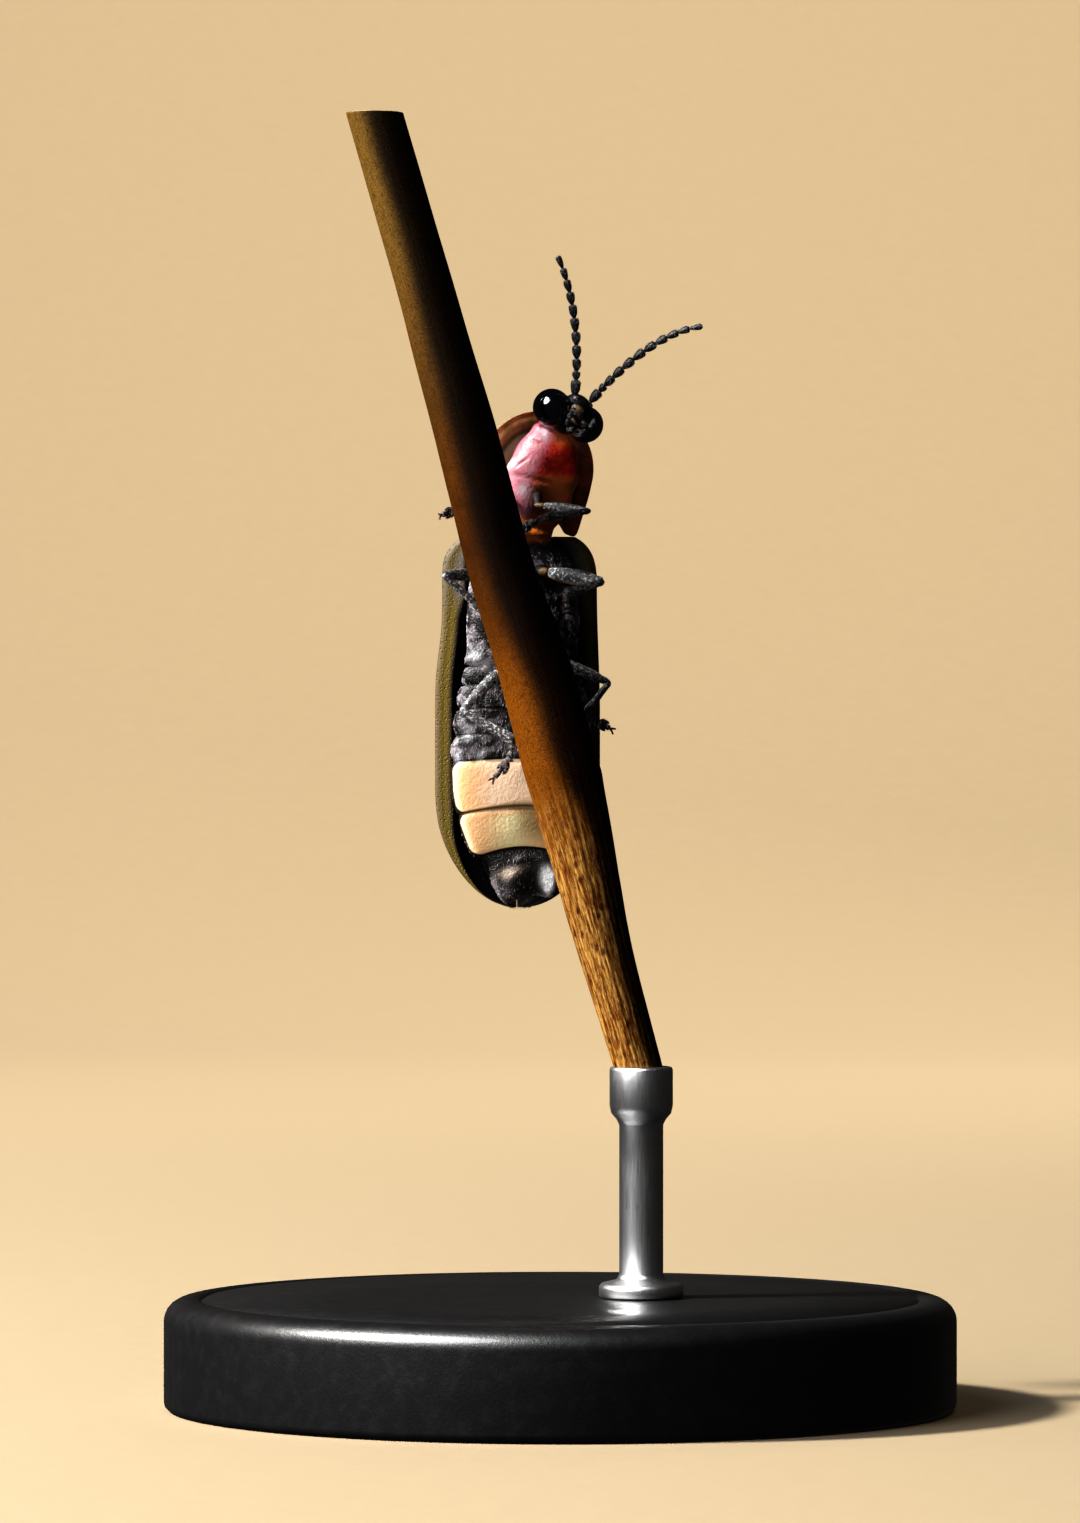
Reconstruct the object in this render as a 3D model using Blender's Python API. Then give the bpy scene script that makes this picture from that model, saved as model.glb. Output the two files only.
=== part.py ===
"""A male firefly at life size, climbing a short cut length of dry grass stem on a plain display stand.

The belly faces -Y, where it is looked at, with the stem in front of it.
The back faces +Y and the head is up.
All sizes are in metres. The origin is the middle of the underside of the base.
Left and right are the firefly's own: its left side is at +X.
"""

import math

import bmesh
import bpy
from mathutils import Matrix, Vector

MM = 0.001

# Joints between touching pieces
SEAM = 0.2 * MM  # between parts of the firefly, where more would be as wide as a shin
STAND_SEAM = 0.3 * MM  # between stem, rod and base
LEAST_RADIUS = 0.25 * MM  # a solid leg or feeler is about 0.5 mm thick

# Stand
BASE_RADIUS = 9.0 * MM
BASE_HEIGHT = 2.5 * MM
BASE_EDGE = 0.5 * MM
ROD_RADIUS = 0.5 * MM

# Stem: the two cut ends, its sideways place by height, and its radius by height
STEM_FOOT = Vector((1.84, 0.0, 7.48)) * MM
STEM_HEAD = Vector((-4.22, 0.0, 29.44)) * MM
STEM_LINE = (
    (7.48, 1.84),
    (11.0, 0.85),
    (12.0, 0.62),
    (13.0, 0.395),
    (14.3, 0.075),
    (15.7, -0.28),
    (16.9, -0.62),
    (17.7, -0.88),
    (18.6, -1.19),
    (19.5, -1.47),
    (20.5, -1.725),
    (22.0, -2.11),
    (24.0, -2.665),
    (26.0, -3.225),
    (28.0, -3.81),
    (29.44, -4.22),
)
STEM_RADII = (
    (7.4, 0.55),
    (8.7, 0.575),
    (10.1, 0.62),
    (12.0, 0.72),
    (13.8, 0.84),
    (14.6, 0.88),
    (17.0, 0.86),
    (19.8, 0.76),
    (22.5, 0.73),
    (25.3, 0.67),
    (29.5, 0.65),
)
STEM_FLUTES = 8
STEM_FLUTE_DEPTH = 0.035

# Body: thorax, abdomen and wing cases, in a frame whose origin is the middle of the thorax
BODY_PLACE = Vector((-0.94, 2.7, 18.4)) * MM
BODY_YAW = math.radians(8)
BELLY = -0.85 * MM
BACK = 0.82 * MM

ELYTRA_FRONT = 1.48 * MM
ELYTRA_REAR = -7.08 * MM
ELYTRA_HALF_WIDTH = 1.87 * MM
ELYTRA_SHOULDER = 1.80 * MM
ELYTRA_EDGE = -0.1 * MM
ELYTRA_THICKNESS = 0.5 * MM
ELYTRA_TAPER_START = -4.2 * MM
SHOULDER_LENGTH = 1.25 * MM
SCUTELLUM_TIP = 0.8 * MM
SCUTELLUM_HALF_WIDTH = 0.50 * MM
COSTA_HEIGHT = 0.06 * MM
COSTAE = (0.3, 0.55, 0.8)  # raised lines, as shares of the half width

THORAX_FRONT = 1.22 * MM
THORAX_REAR = -1.45 * MM

# Abdomen: the length, front and rear half widths and colour group of each segment, from the thorax back
SEGMENTS = (
    ("abdomen_2", 0.36, 1.28, 1.36, "dark"),
    ("abdomen_3", 0.54, 1.36, 1.46, "dark"),
    ("abdomen_4", 0.58, 1.46, 1.53, "dark"),
    ("abdomen_5", 0.62, 1.53, 1.58, "dark"),
    ("lantern_6", 1.13, 1.62, 1.50, "lantern"),
    ("lantern_7", 1.02, 1.48, 1.12, "lantern"),
)
TAIL_LENGTH = 1.04 * MM
TAIL_HALF_WIDTH = 0.88 * MM
TAIL_ASIDE = 0.16 * MM  # the tip is turned a little to the left side

# Prothorax and pronotum, in a frame at the middle of the pronotum's rear edge
PROTHORAX_PLACE = Vector((-0.76, 3.05, 20.04)) * MM
PROTHORAX_TURN = (math.radians(8), math.radians(8.5), math.radians(12))
PRONOTUM_LENGTH = 2.78 * MM
PRONOTUM_HALF_WIDTH = 1.33 * MM
PRONOTUM_WIDEST = 1.4 * MM
PRONOTUM_RIM = 0.2 * MM
PRONOTUM_DOME = 0.42 * MM

# Head, in a frame midway between the eyes: x towards its left eye, z forwards, -y out of the face
HEAD_PLACE = Vector((0.196, 1.55, 22.63)) * MM
HEAD_EYE_AXIS = Vector((0.781, 0.469, -0.41))
HEAD_FORWARD = Vector((0.465, 0.0, 0.885))
EYE_RADIUS = 0.42 * MM
EYE_OFFSET = 0.485 * MM
EYE_FLAT = 0.27 * MM
EYE_SEAM = 0.15 * MM
SKULL_MIDDLE = (0.0, 0.05, -0.08)
SKULL_RADII = (0.46, 0.40, 0.56)

# Feelers: root, two guides and tip of each curve, from HEAD_PLACE
ANTENNA_JOINTS = 11
ANTENNAE = {
    "antenna_right": ((0.14, -0.30, 0.68), (0.28, -0.42, 1.66), (0.15, -0.46, 2.68), (-0.25, -0.52, 3.62)),
    "antenna_left": ((0.66, -0.24, 0.50), (1.20, -0.28, 1.00), (2.06, -0.32, 1.92), (3.06, -0.40, 2.02)),
}

# Legs: hip, end of the hip joint, knee, ankle, mid foot and toe, in mm
LEGS = {
    "leg_front_left": (
        (-0.52, 1.86, 20.80), (-0.50, 1.40, 20.56), (0.66, 1.00, 20.42),
        (-0.36, 0.55, 20.26), (-0.66, 1.10, 20.12), (-1.00, 1.22, 19.96),
    ),
    "leg_front_right": (
        (-1.34, 1.86, 20.84), (-1.42, 1.50, 20.66), (-2.34, 1.95, 20.84),
        (-2.06, 1.12, 20.30), (-2.42, 0.86, 20.42), (-2.74, 0.62, 20.30),
    ),
    "leg_middle_left": (
        (-0.48, 1.84, 19.05), (-0.40, 1.42, 19.04), (0.97, 1.05, 18.80),
        (0.10, 0.42, 18.52), (0.16, 0.44, 18.06), (0.26, 0.46, 17.60),
    ),
    "leg_middle_right": (
        (-1.26, 1.80, 18.98), (-1.52, 1.42, 18.98), (-2.65, 0.55, 18.94),
        (-1.68, 1.00, 18.06), (-1.56, 1.08, 17.78), (-1.42, 1.12, 17.50),
    ),
    "leg_hind_left": (
        (-0.42, 1.84, 17.22), (-0.24, 1.44, 17.10), (1.12, 1.55, 16.50),
        (0.50, 1.06, 15.70), (0.86, 1.00, 15.60), (1.18, 0.94, 15.42),
    ),
    "leg_hind_right": (
        (-1.20, 1.80, 17.12), (-1.32, 1.46, 16.86), (-2.25, 0.95, 15.84),
        (-1.06, 1.06, 15.18), (-1.18, 1.02, 14.68), (-1.56, 0.98, 14.26),
    ),
}

COLOURS = {
    "dark": ((0.022, 0.020, 0.021), 0.45),
    "elytron": ((0.035, 0.028, 0.018), 0.4),
    "pronotum": ((0.50, 0.26, 0.13), 0.45),
    "pink": ((0.78, 0.36, 0.36), 0.4),
    "amber": ((0.30, 0.11, 0.04), 0.45),
    "lantern": ((0.86, 0.72, 0.52), 0.5),
    "eye": ((0.004, 0.004, 0.006), 0.08),
    "stem": ((0.28, 0.16, 0.06), 0.6),
    "base": ((0.03, 0.03, 0.032), 0.4),
    "steel": ((0.62, 0.62, 0.63), 0.3),
}


def start_scene():
    """An empty scene, with one collection for the firefly and its stand."""
    for old in list(bpy.data.objects):
        bpy.data.objects.remove(old)
    parts = bpy.data.collections.new("firefly")
    bpy.context.scene.collection.children.link(parts)
    return parts


PARTS = start_scene()


def material(colour):
    """The Principled material of a colour group, made once."""
    found = bpy.data.materials.get(colour)
    if found:
        return found
    made = bpy.data.materials.new(colour)
    made.use_nodes = True
    shader = made.node_tree.nodes["Principled BSDF"]
    (red, green, blue), roughness = COLOURS[colour]
    shader.inputs["Base Color"].default_value = (red, green, blue, 1.0)
    shader.inputs["Roughness"].default_value = roughness
    shader.inputs["Metallic"].default_value = 1.0 if colour == "steel" else 0.0
    return made


def object_of(name, mesh, place=None):
    """A named object of the model with this mesh, its frame at place."""
    made = bpy.data.objects.new(name, mesh)
    if place is not None:
        made.matrix_world = place
    PARTS.objects.link(made)
    return made


def object_from(name, bm, place=None):
    """A named object from a bmesh, with its faces pointing out."""
    bmesh.ops.recalc_face_normals(bm, faces=bm.faces)
    mesh = bpy.data.meshes.new(name)
    bm.to_mesh(mesh)
    bm.free()
    return object_of(name, mesh, place)


def loft(name, rings, place=None):
    """A closed body through rings of equally many points, with a flat face at each end."""
    bm = bmesh.new()
    loops = [[bm.verts.new(point) for point in ring] for ring in rings]
    for first, second in zip(loops, loops[1:]):
        for i, corner in enumerate(first):
            after = (i + 1) % len(first)
            bm.faces.new((corner, first[after], second[after], second[i]))
    bm.faces.new(list(reversed(loops[0])))
    bm.faces.new(loops[-1])
    return object_from(name, bm, place)


def ball(name, middle, radii, place=None, segments=14, rings=9):
    """An ellipsoid with these three radii about middle."""
    bm = bmesh.new()
    shape = Matrix.Translation(Vector(middle)) @ Matrix.Diagonal((*radii, 1.0))
    bmesh.ops.create_uvsphere(bm, u_segments=segments, v_segments=rings, radius=1.0, matrix=shape)
    return object_from(name, bm, place)


def box(name, low, high, place=None):
    """A block from its low corner to its high corner."""
    bm = bmesh.new()
    low, high = Vector(low), Vector(high)
    sides = Matrix.Diagonal((*(high - low), 1.0))
    bmesh.ops.create_cube(bm, size=1.0, matrix=Matrix.Translation((low + high) / 2) @ sides)
    return object_from(name, bm, place)


def tube(name, points, radii, place=None):
    """A round bar along points, as thick at each as radii says, made a mesh with its caps welded."""
    curve = bpy.data.curves.new(name, "CURVE")
    curve.dimensions = "3D"
    curve.bevel_depth = 1.0
    curve.bevel_resolution = 2
    curve.use_fill_caps = True
    spline = curve.splines.new("POLY")
    spline.points.add(len(points) - 1)
    for knot, point, radius in zip(spline.points, points, radii):
        knot.co = (*point, 1.0)
        knot.radius = radius
    drawn = object_of(name + "_curve", curve)
    bpy.context.view_layer.update()
    graph = bpy.context.evaluated_depsgraph_get()
    mesh = bpy.data.meshes.new_from_object(drawn.evaluated_get(graph))
    bpy.data.objects.remove(drawn)
    bm = bmesh.new()
    bm.from_mesh(mesh)
    bmesh.ops.remove_doubles(bm, verts=bm.verts, dist=0.001 * MM)
    return object_from(name, bm, place)


def finish(obj, colour, smooth_angle=40):
    """Gives a piece its material and smooth shading."""
    obj.data.materials.clear()
    obj.data.materials.append(material(colour))
    obj.data.shade_smooth()
    obj.data.set_sharp_from_angle(angle=math.radians(smooth_angle))
    return obj


def largest_surface(obj):
    """Keeps only the largest closed surface of a mesh, by its box, and drops loose scraps."""
    bm = bmesh.new()
    bm.from_mesh(obj.data)
    bmesh.ops.remove_doubles(bm, verts=bm.verts, dist=0.0005 * MM)
    bmesh.ops.dissolve_degenerate(bm, edges=bm.edges, dist=0.0005 * MM)
    left, islands = set(bm.verts), []
    while left:
        island, edge_of = set(), [left.pop()]
        while edge_of:
            corner = edge_of.pop()
            island.add(corner)
            for side in corner.link_edges:
                other = side.other_vert(corner)
                if other in left:
                    left.discard(other)
                    edge_of.append(other)
        islands.append(island)
    keep = max(islands, key=len)
    bmesh.ops.delete(bm, geom=[v for v in bm.verts if v not in keep], context="VERTS")
    bm.to_mesh(obj.data)
    bm.free()
    return obj


def apply_boolean(obj, others, operation):
    """Joins others to obj, or cuts them from it, by one Boolean, and removes them."""
    group = bpy.data.collections.new(obj.name + "_" + operation.lower())
    bpy.context.scene.collection.children.link(group)
    for other in others:
        PARTS.objects.unlink(other)
        group.objects.link(other)
    modifier = obj.modifiers.new("Boolean", "BOOLEAN")
    modifier.operation = operation
    modifier.operand_type = "COLLECTION"
    modifier.collection = group
    bpy.context.view_layer.update()
    graph = bpy.context.evaluated_depsgraph_get()
    mesh = bpy.data.meshes.new_from_object(obj.evaluated_get(graph))
    obj.modifiers.clear()
    obj.data = mesh
    for other in others:
        bpy.data.objects.remove(other)
    bpy.data.collections.remove(group)
    return largest_surface(obj)


def fuse(pieces, name):
    """One closed body from pieces that overlap."""
    whole = apply_boolean(pieces[0], pieces[1:], "UNION")
    whole.name = name
    return whole


def cut(obj, cutters):
    """obj without the space of the cutters."""
    return apply_boolean(obj, cutters, "DIFFERENCE")


def between(low, high, share):
    """The value at share of the way from low to high."""
    return low + (high - low) * share


def read_profile(profile, at):
    """The value at a place in a table of (place, value) pairs, with straight runs between them."""
    for (a, value_a), (b, value_b) in zip(profile, profile[1:]):
        if at <= b:
            return between(value_a, value_b, max(0.0, (at - a) / (b - a)))
    return profile[-1][1]


def power(value, exponent):
    """A signed power, for squared-off rounds."""
    return math.copysign(abs(value) ** exponent, value)


def oval(half_width, low, high, at, level=0.5, below=2.6, above=2.0, count=20):
    """A ring across the body at this place: widest at level of the way from low to high."""
    middle = between(low, high, level)
    ring = []
    for i in range(count):
        angle = 2 * math.pi * i / count
        square = above if math.sin(angle) > 0 else below
        rise = (high - middle) if math.sin(angle) > 0 else (middle - low)
        x = half_width * power(math.cos(angle), 2 / square)
        y = middle + rise * power(math.sin(angle), 2 / square)
        ring.append((x, y, at))
    return ring


def body_frame():
    return Matrix.Translation(BODY_PLACE) @ Matrix.Rotation(BODY_YAW, 4, "Z")


def prothorax_frame():
    pitch, tilt, yaw = PROTHORAX_TURN
    turn = Matrix.Rotation(yaw, 4, "Z") @ Matrix.Rotation(tilt, 4, "Y") @ Matrix.Rotation(pitch, 4, "X")
    return Matrix.Translation(PROTHORAX_PLACE) @ turn


def head_frame():
    forward = HEAD_FORWARD.normalized()
    across = (HEAD_EYE_AXIS - forward * HEAD_EYE_AXIS.dot(forward)).normalized()
    back = forward.cross(across)
    return Matrix.Translation(HEAD_PLACE) @ Matrix((across, back, forward)).transposed().to_4x4()


def stem_middle(height):
    """The middle of the stem at this height: it leans, with slight bends as it grew."""
    return Vector((read_profile(STEM_LINE, height / MM) * MM, STEM_FOOT.y, height))


def stem_solid(name, grow=0.0, flutes=STEM_FLUTE_DEPTH):
    """The stem, or with grow a cutter that stands clear of it. Its foot is cut level."""
    rows, count = 26, 24
    rings = []
    for row in range(rows + 1):
        height = between(STEM_FOOT.z, STEM_HEAD.z, row / rows)
        middle = stem_middle(height)
        radius = read_profile(STEM_RADII, height / MM) * MM + grow
        ring = []
        for i in range(count):
            angle = 2 * math.pi * i / count
            ripple = 1 + flutes * math.cos(STEM_FLUTES * angle)
            ring.append(middle + radius * ripple * Vector((math.cos(angle), math.sin(angle), 0.0)))
        rings.append(ring)
    return loft(name, rings)


def stand():
    """The base, a turned disc with an eased upper edge, and the rod up to the stem's foot."""
    profile = (
        (BASE_RADIUS - BASE_EDGE, BASE_HEIGHT),
        (BASE_RADIUS - 0.15 * MM, BASE_HEIGHT - 0.15 * MM),
        (BASE_RADIUS, BASE_HEIGHT - BASE_EDGE),
        (BASE_RADIUS, 0.0),
    )
    sides = 64
    rings = [
        [
            (radius * math.cos(2 * math.pi * i / sides), radius * math.sin(2 * math.pi * i / sides), height)
            for i in range(sides)
        ]
        for radius, height in profile
    ]
    finish(loft("stand_base", rings), "base")
    low = BASE_HEIGHT + STAND_SEAM
    high = STEM_FOOT.z - STAND_SEAM
    bm = bmesh.new()
    middle = Matrix.Translation((STEM_FOOT.x, STEM_FOOT.y, (low + high) / 2))
    bmesh.ops.create_cone(
        bm, cap_ends=True, segments=20, radius1=ROD_RADIUS, radius2=ROD_RADIUS,
        depth=high - low, matrix=middle,
    )
    finish(object_from("stand_rod", bm), "steel")


def elytron_half_width(at):
    """Half the width over both wing cases at a place along the body."""
    if at > ELYTRA_FRONT - SHOULDER_LENGTH:
        share = 0.88 * (at - (ELYTRA_FRONT - SHOULDER_LENGTH)) / SHOULDER_LENGTH
        return ELYTRA_SHOULDER * (1 - share ** 3.2) ** (1 / 3.2)
    if at < ELYTRA_TAPER_START:
        share = (ELYTRA_TAPER_START - at) / (ELYTRA_TAPER_START - ELYTRA_REAR)
        return ELYTRA_HALF_WIDTH * (1 - min(0.985, share) ** 2.3) ** 0.5
    share = (ELYTRA_FRONT - SHOULDER_LENGTH - at) / 2.5 / MM
    return between(ELYTRA_SHOULDER, ELYTRA_HALF_WIDTH, min(1.0, share))


def elytron_inner_edge(at):
    """How far from the middle line a wing case starts: the seam, and the notch for the scutellum."""
    notch = max(0.0, (at - SCUTELLUM_TIP) / (ELYTRA_FRONT - SCUTELLUM_TIP))
    return SEAM / 2 + SCUTELLUM_HALF_WIDTH * notch


def elytron_top(at):
    """Height of the wing cases' back along the body."""
    front = max(0.0, (at - 0.5 * MM) / (ELYTRA_FRONT - 0.5 * MM))
    rear = max(0.0, (-3.5 * MM - at) / (-3.5 * MM - ELYTRA_REAR))
    return BACK - 0.16 * MM * front ** 2 - 0.36 * MM * rear ** 1.8


def elytron_ring(at, side):
    """A C-shaped ring across one wing case: its back from the seam to the rim, then its underside."""
    inner, outer = elytron_inner_edge(at), elytron_half_width(at)
    rise = elytron_top(at) - ELYTRA_EDGE
    steps, square = 12, 2.2
    start = math.asin(min(0.9, inner / outer) ** (square / 2))
    arc = []
    for i in range(steps + 1):
        angle = between(start, math.pi / 2, i / steps)
        x = outer * math.sin(angle) ** (2 / square)
        y = ELYTRA_EDGE + rise * max(0.0, math.cos(angle)) ** (2 / square)
        arc.append(Vector((x, y, at)))
    under = []
    for i, point in enumerate(arc):
        along = arc[min(i + 1, steps)] - arc[max(i - 1, 0)]
        normal = Vector((along.y, -along.x, 0.0)).normalized()
        inward = point + normal * ELYTRA_THICKNESS
        under.append(Vector((max(inner, inward.x), inward.y, at)))
        if 0 < i < steps:
            for costa in COSTAE:
                crest = max(0.0, 1 - abs(point.x / outer - costa) / 0.06)
                point -= normal * COSTA_HEIGHT * crest
    under[0] = Vector((inner, arc[0].y - ELYTRA_THICKNESS, at))
    under[-1] = Vector((max(inner, outer - ELYTRA_THICKNESS), ELYTRA_EDGE, at))
    return [(side * p.x, p.y, p.z) for p in arc + under[::-1]]


def elytra():
    """The two wing cases."""
    stations = [ELYTRA_FRONT - SHOULDER_LENGTH * share for share in (0.0, 0.06, 0.16, 0.3, 0.5, 0.8)]
    stations += [between(-0.4, -4.2, i / 6) * MM for i in range(7)]
    taper = (0.2, 0.4, 0.58, 0.73, 0.85, 0.93, 0.985)
    stations += [between(ELYTRA_TAPER_START, ELYTRA_REAR, share) for share in taper]
    for name, side in (("elytron_left", 1), ("elytron_right", -1)):
        finish(loft(name, [elytron_ring(at, side) for at in stations], body_frame()), "elytron")


def thorax_solid(name, grow=0.0):
    """The middle and hind thorax, with its breast bulging down between the legs."""
    stations = (
        (THORAX_FRONT + grow, 0.60, -0.70, -0.04),
        (1.05 * MM, 0.95, -0.80, 0.02),
        (0.55 * MM, 1.18, -0.86, 0.04),
        (0.00 * MM, 1.26, -0.92, 0.04),
        (-0.60 * MM, 1.28, -0.94, 0.04),
        (-1.20 * MM, 1.26, -0.90, 0.02),
        (THORAX_REAR - grow, 1.08, -0.76, -0.04),
    )
    rings = [
        oval(half * MM + grow, low * MM - grow, high * MM + grow, at, level=0.5, below=2.4, above=1.9)
        for at, half, low, high in stations
    ]
    return loft(name, rings, body_frame())


def thorax():
    """The thorax with the small triangular scutellum that shows between the wing cases."""
    breast = thorax_solid("thorax_breast")
    half = 0.44 * SCUTELLUM_HALF_WIDTH
    front, tip = THORAX_FRONT + 0.04 * MM, SCUTELLUM_TIP + 0.22 * MM
    rings = [
        [
            (-width, -0.2 * MM, at), (width, -0.2 * MM, at), (width, high, at),
            (0.0, high + 0.04 * MM, at), (-width, high, at),
        ]
        for at, width, high in ((front, half, 0.60 * MM), (tip, 0.04 * MM, 0.66 * MM))
    ]
    finish(fuse([breast, loft("scutellum", rings, body_frame())], "thorax"), "dark")


def waist():
    """The soft amber joint between the pink prothorax and the thorax."""
    rings = [
        oval(half * MM, low * MM, high * MM, at * MM, count=16)
        for at, half, low, high in (
            (THORAX_FRONT / MM + 0.2, 0.56, -0.66, -0.16),
            (1.62, 0.60, -0.74, -0.14),
            (1.86, 0.56, -0.72, -0.16),
        )
    ]
    place = body_frame() @ Matrix.Translation((0.12 * MM, 0.0, 0.0))
    joint = cut(loft("waist", rings, place), [prothorax_solid("prothorax_cutter", SEAM)])
    finish(joint, "amber")


def segment_rings(front, rear, front_half, rear_half):
    """The rings of one abdominal segment: a pillow that bulges between two grooves."""
    rings = []
    for share, ease in ((0.0, 0.925), (0.09, 0.975), (0.3, 1.0), (0.7, 1.0), (0.9, 0.98), (1.0, 0.93)):
        half = between(front_half, rear_half, share) * ease
        low = BELLY * between(1.0, ease, 0.8)
        high, at = -0.05 * MM * ease, between(front, rear, share)
        rings.append(oval(half, low, high, at, level=0.38, below=2.7, above=1.6))
    return rings


def abdomen():
    """The segments of the abdomen, the last two of them the light organs, and the tail."""
    front = THORAX_REAR - SEAM
    for name, length, front_half, rear_half, colour in SEGMENTS:
        rear = front - length * MM + SEAM
        piece = loft(name, segment_rings(front, rear, front_half * MM, rear_half * MM), body_frame())
        finish(piece, colour)
        front = rear - SEAM
    tail(front)


def abdomen_cutter():
    """The whole abdomen grown by a seam, as one plain body that the legs are cut clear of."""
    front, first, last = THORAX_REAR, SEGMENTS[0], SEGMENTS[-1]
    rear = front - SEAM - sum(segment[1] for segment in SEGMENTS) * MM
    rows = ((front + SEAM / 2, first[2]), (between(front, rear, 0.5), SEGMENTS[3][3]), (rear, last[2]))
    rings = [oval(half * MM + SEAM, BELLY - SEAM, 0.0, at, level=0.38, below=2.7) for at, half in rows]
    return loft("abdomen_cutter", rings, body_frame())


def tail(front):
    """The last segment: a belly plate with a notched rear edge, and a back plate with two corners."""
    rear = front - TAIL_LENGTH

    def plate(name, rows, high):
        rings = [
            oval(TAIL_HALF_WIDTH * wide, low * MM, high, between(front, rear, share), level=0.4, count=16)
            for share, wide, low in rows
        ]
        aside = Matrix.Translation((TAIL_ASIDE, 0.0, 0.0))
        return loft(name, rings, body_frame() @ aside)

    belly_rows = ((0.0, 1.0, -0.74), (0.12, 1.02, -0.78), (0.35, 0.9, -0.76), (0.58, 0.66, -0.68))
    back_rows = ((0.06, 0.9, -0.6), (0.5, 0.84, -0.6), (0.76, 0.66, -0.56))
    pieces = [plate("tail_plate", belly_rows, -0.40 * MM), plate("tail_back", back_rows, -0.36 * MM)]
    for side in (-1, 1):
        corner = Vector((TAIL_ASIDE + side * 0.42 * MM, -0.52 * MM, between(front, rear, 0.55)))
        tip = Vector((TAIL_ASIDE + side * 0.44 * MM, -0.56 * MM, rear))
        lobe = tube(
            f"tail_corner_{side}",
            (corner, corner.lerp(tip, 0.5), tip),
            (0.22 * MM, 0.2 * MM, 0.08 * MM),
            body_frame(),
        )
        pieces.append(lobe)
    finish(fuse(pieces, "abdomen_8"), "dark")


def pronotum_outline(count=36):
    """Points round the shield, x across and z forwards: its front from the left side on, then its rear."""
    front_share = 24
    points = []
    for i in range(front_share + 1):
        angle = math.pi * i / front_share
        forward = PRONOTUM_LENGTH - PRONOTUM_WIDEST
        points.append((PRONOTUM_HALF_WIDTH * math.cos(angle), PRONOTUM_WIDEST + forward * math.sin(angle)))
    corner = (1.16 * MM, 0.16 * MM)
    rear = [
        (-1.30 * MM, 0.90 * MM), (-1.24 * MM, 0.45 * MM), (-corner[0], corner[1]), (-0.92 * MM, 0.24 * MM),
        (-0.60 * MM, 0.34 * MM), (-0.2 * MM, 0.24 * MM),
    ]
    return points + rear + [(-x, z) for x, z in reversed(rear)]


def pronotum():
    """The shield over the head: a flat rim round a domed disc."""
    outline = pronotum_outline()
    centre = Vector((0.0, 1.35 * MM))
    steps = (
        (0.12, PRONOTUM_RIM + PRONOTUM_DOME), (0.42, PRONOTUM_RIM + PRONOTUM_DOME * 0.86),
        (0.66, PRONOTUM_RIM + PRONOTUM_DOME * 0.42), (0.82, PRONOTUM_RIM * 0.8), (0.96, PRONOTUM_RIM),
        (1.0, 0.03 * MM), (0.97, -PRONOTUM_RIM), (0.7, -PRONOTUM_RIM), (0.2, -PRONOTUM_RIM),
    )
    rings = []
    for share, height in steps:
        ring = []
        for x, z in outline:
            point = centre.lerp(Vector((x, z)), share)
            ring.append((point.x, height, point.y))
        rings.append(ring)
    finish(loft("pronotum", rings, prothorax_frame()), "pronotum")


def prothorax_solid(name, grow=0.0):
    """The pink underside of the prothorax, rounded like an egg and narrow at the head."""
    top = -PRONOTUM_RIM - SEAM + grow
    stations = (
        (0.30, 0.56, -0.92), (0.50, 0.68, -1.06), (0.90, 0.78, -1.14), (1.40, 0.83, -1.17),
        (1.80, 0.80, -1.14), (2.10, 0.68, -1.06), (2.32, 0.50, -0.94), (2.44, 0.34, -0.80),
    )
    rings = [
        oval(half * MM + grow, low * MM - grow, top, at * MM, level=0.62, below=2.2, above=2.4, count=22)
        for at, half, low in stations
    ]
    if grow:
        rings[0] = [(x, y, z - grow) for x, y, z in rings[0]]
        rings[-1] = [(x, y, z + grow) for x, y, z in rings[-1]]
    return loft(name, rings, prothorax_frame())


def prothorax():
    """The prothorax, hollowed where the head draws back against it."""
    body = prothorax_solid("prothorax")
    radii = [radius * MM + SEAM for radius in SKULL_RADII]
    head = ball("head_cutter", [c * MM for c in SKULL_MIDDLE], radii, head_frame())
    cutters = [head] + [eye_solid(f"eye_cutter_{side}", side, SEAM) for side in (-1, 1)]
    finish(cut(body, cutters), "pink")


def eye_solid(name, side, grow=0.0):
    """A nearly round eye, flat where it meets the head."""
    middle = (side * EYE_OFFSET, 0.0, 0.0)
    eye = ball(name, middle, [EYE_RADIUS + grow] * 3, head_frame(), segments=20, rings=12)
    reach = 2 * EYE_RADIUS + grow
    flat = side * (EYE_FLAT - grow)
    low = (min(flat, flat - side * reach), -reach, -reach)
    high = (max(flat, flat - side * reach), reach, reach)
    return cut(eye, [box(name + "_flat", low, high, head_frame())])


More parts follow.
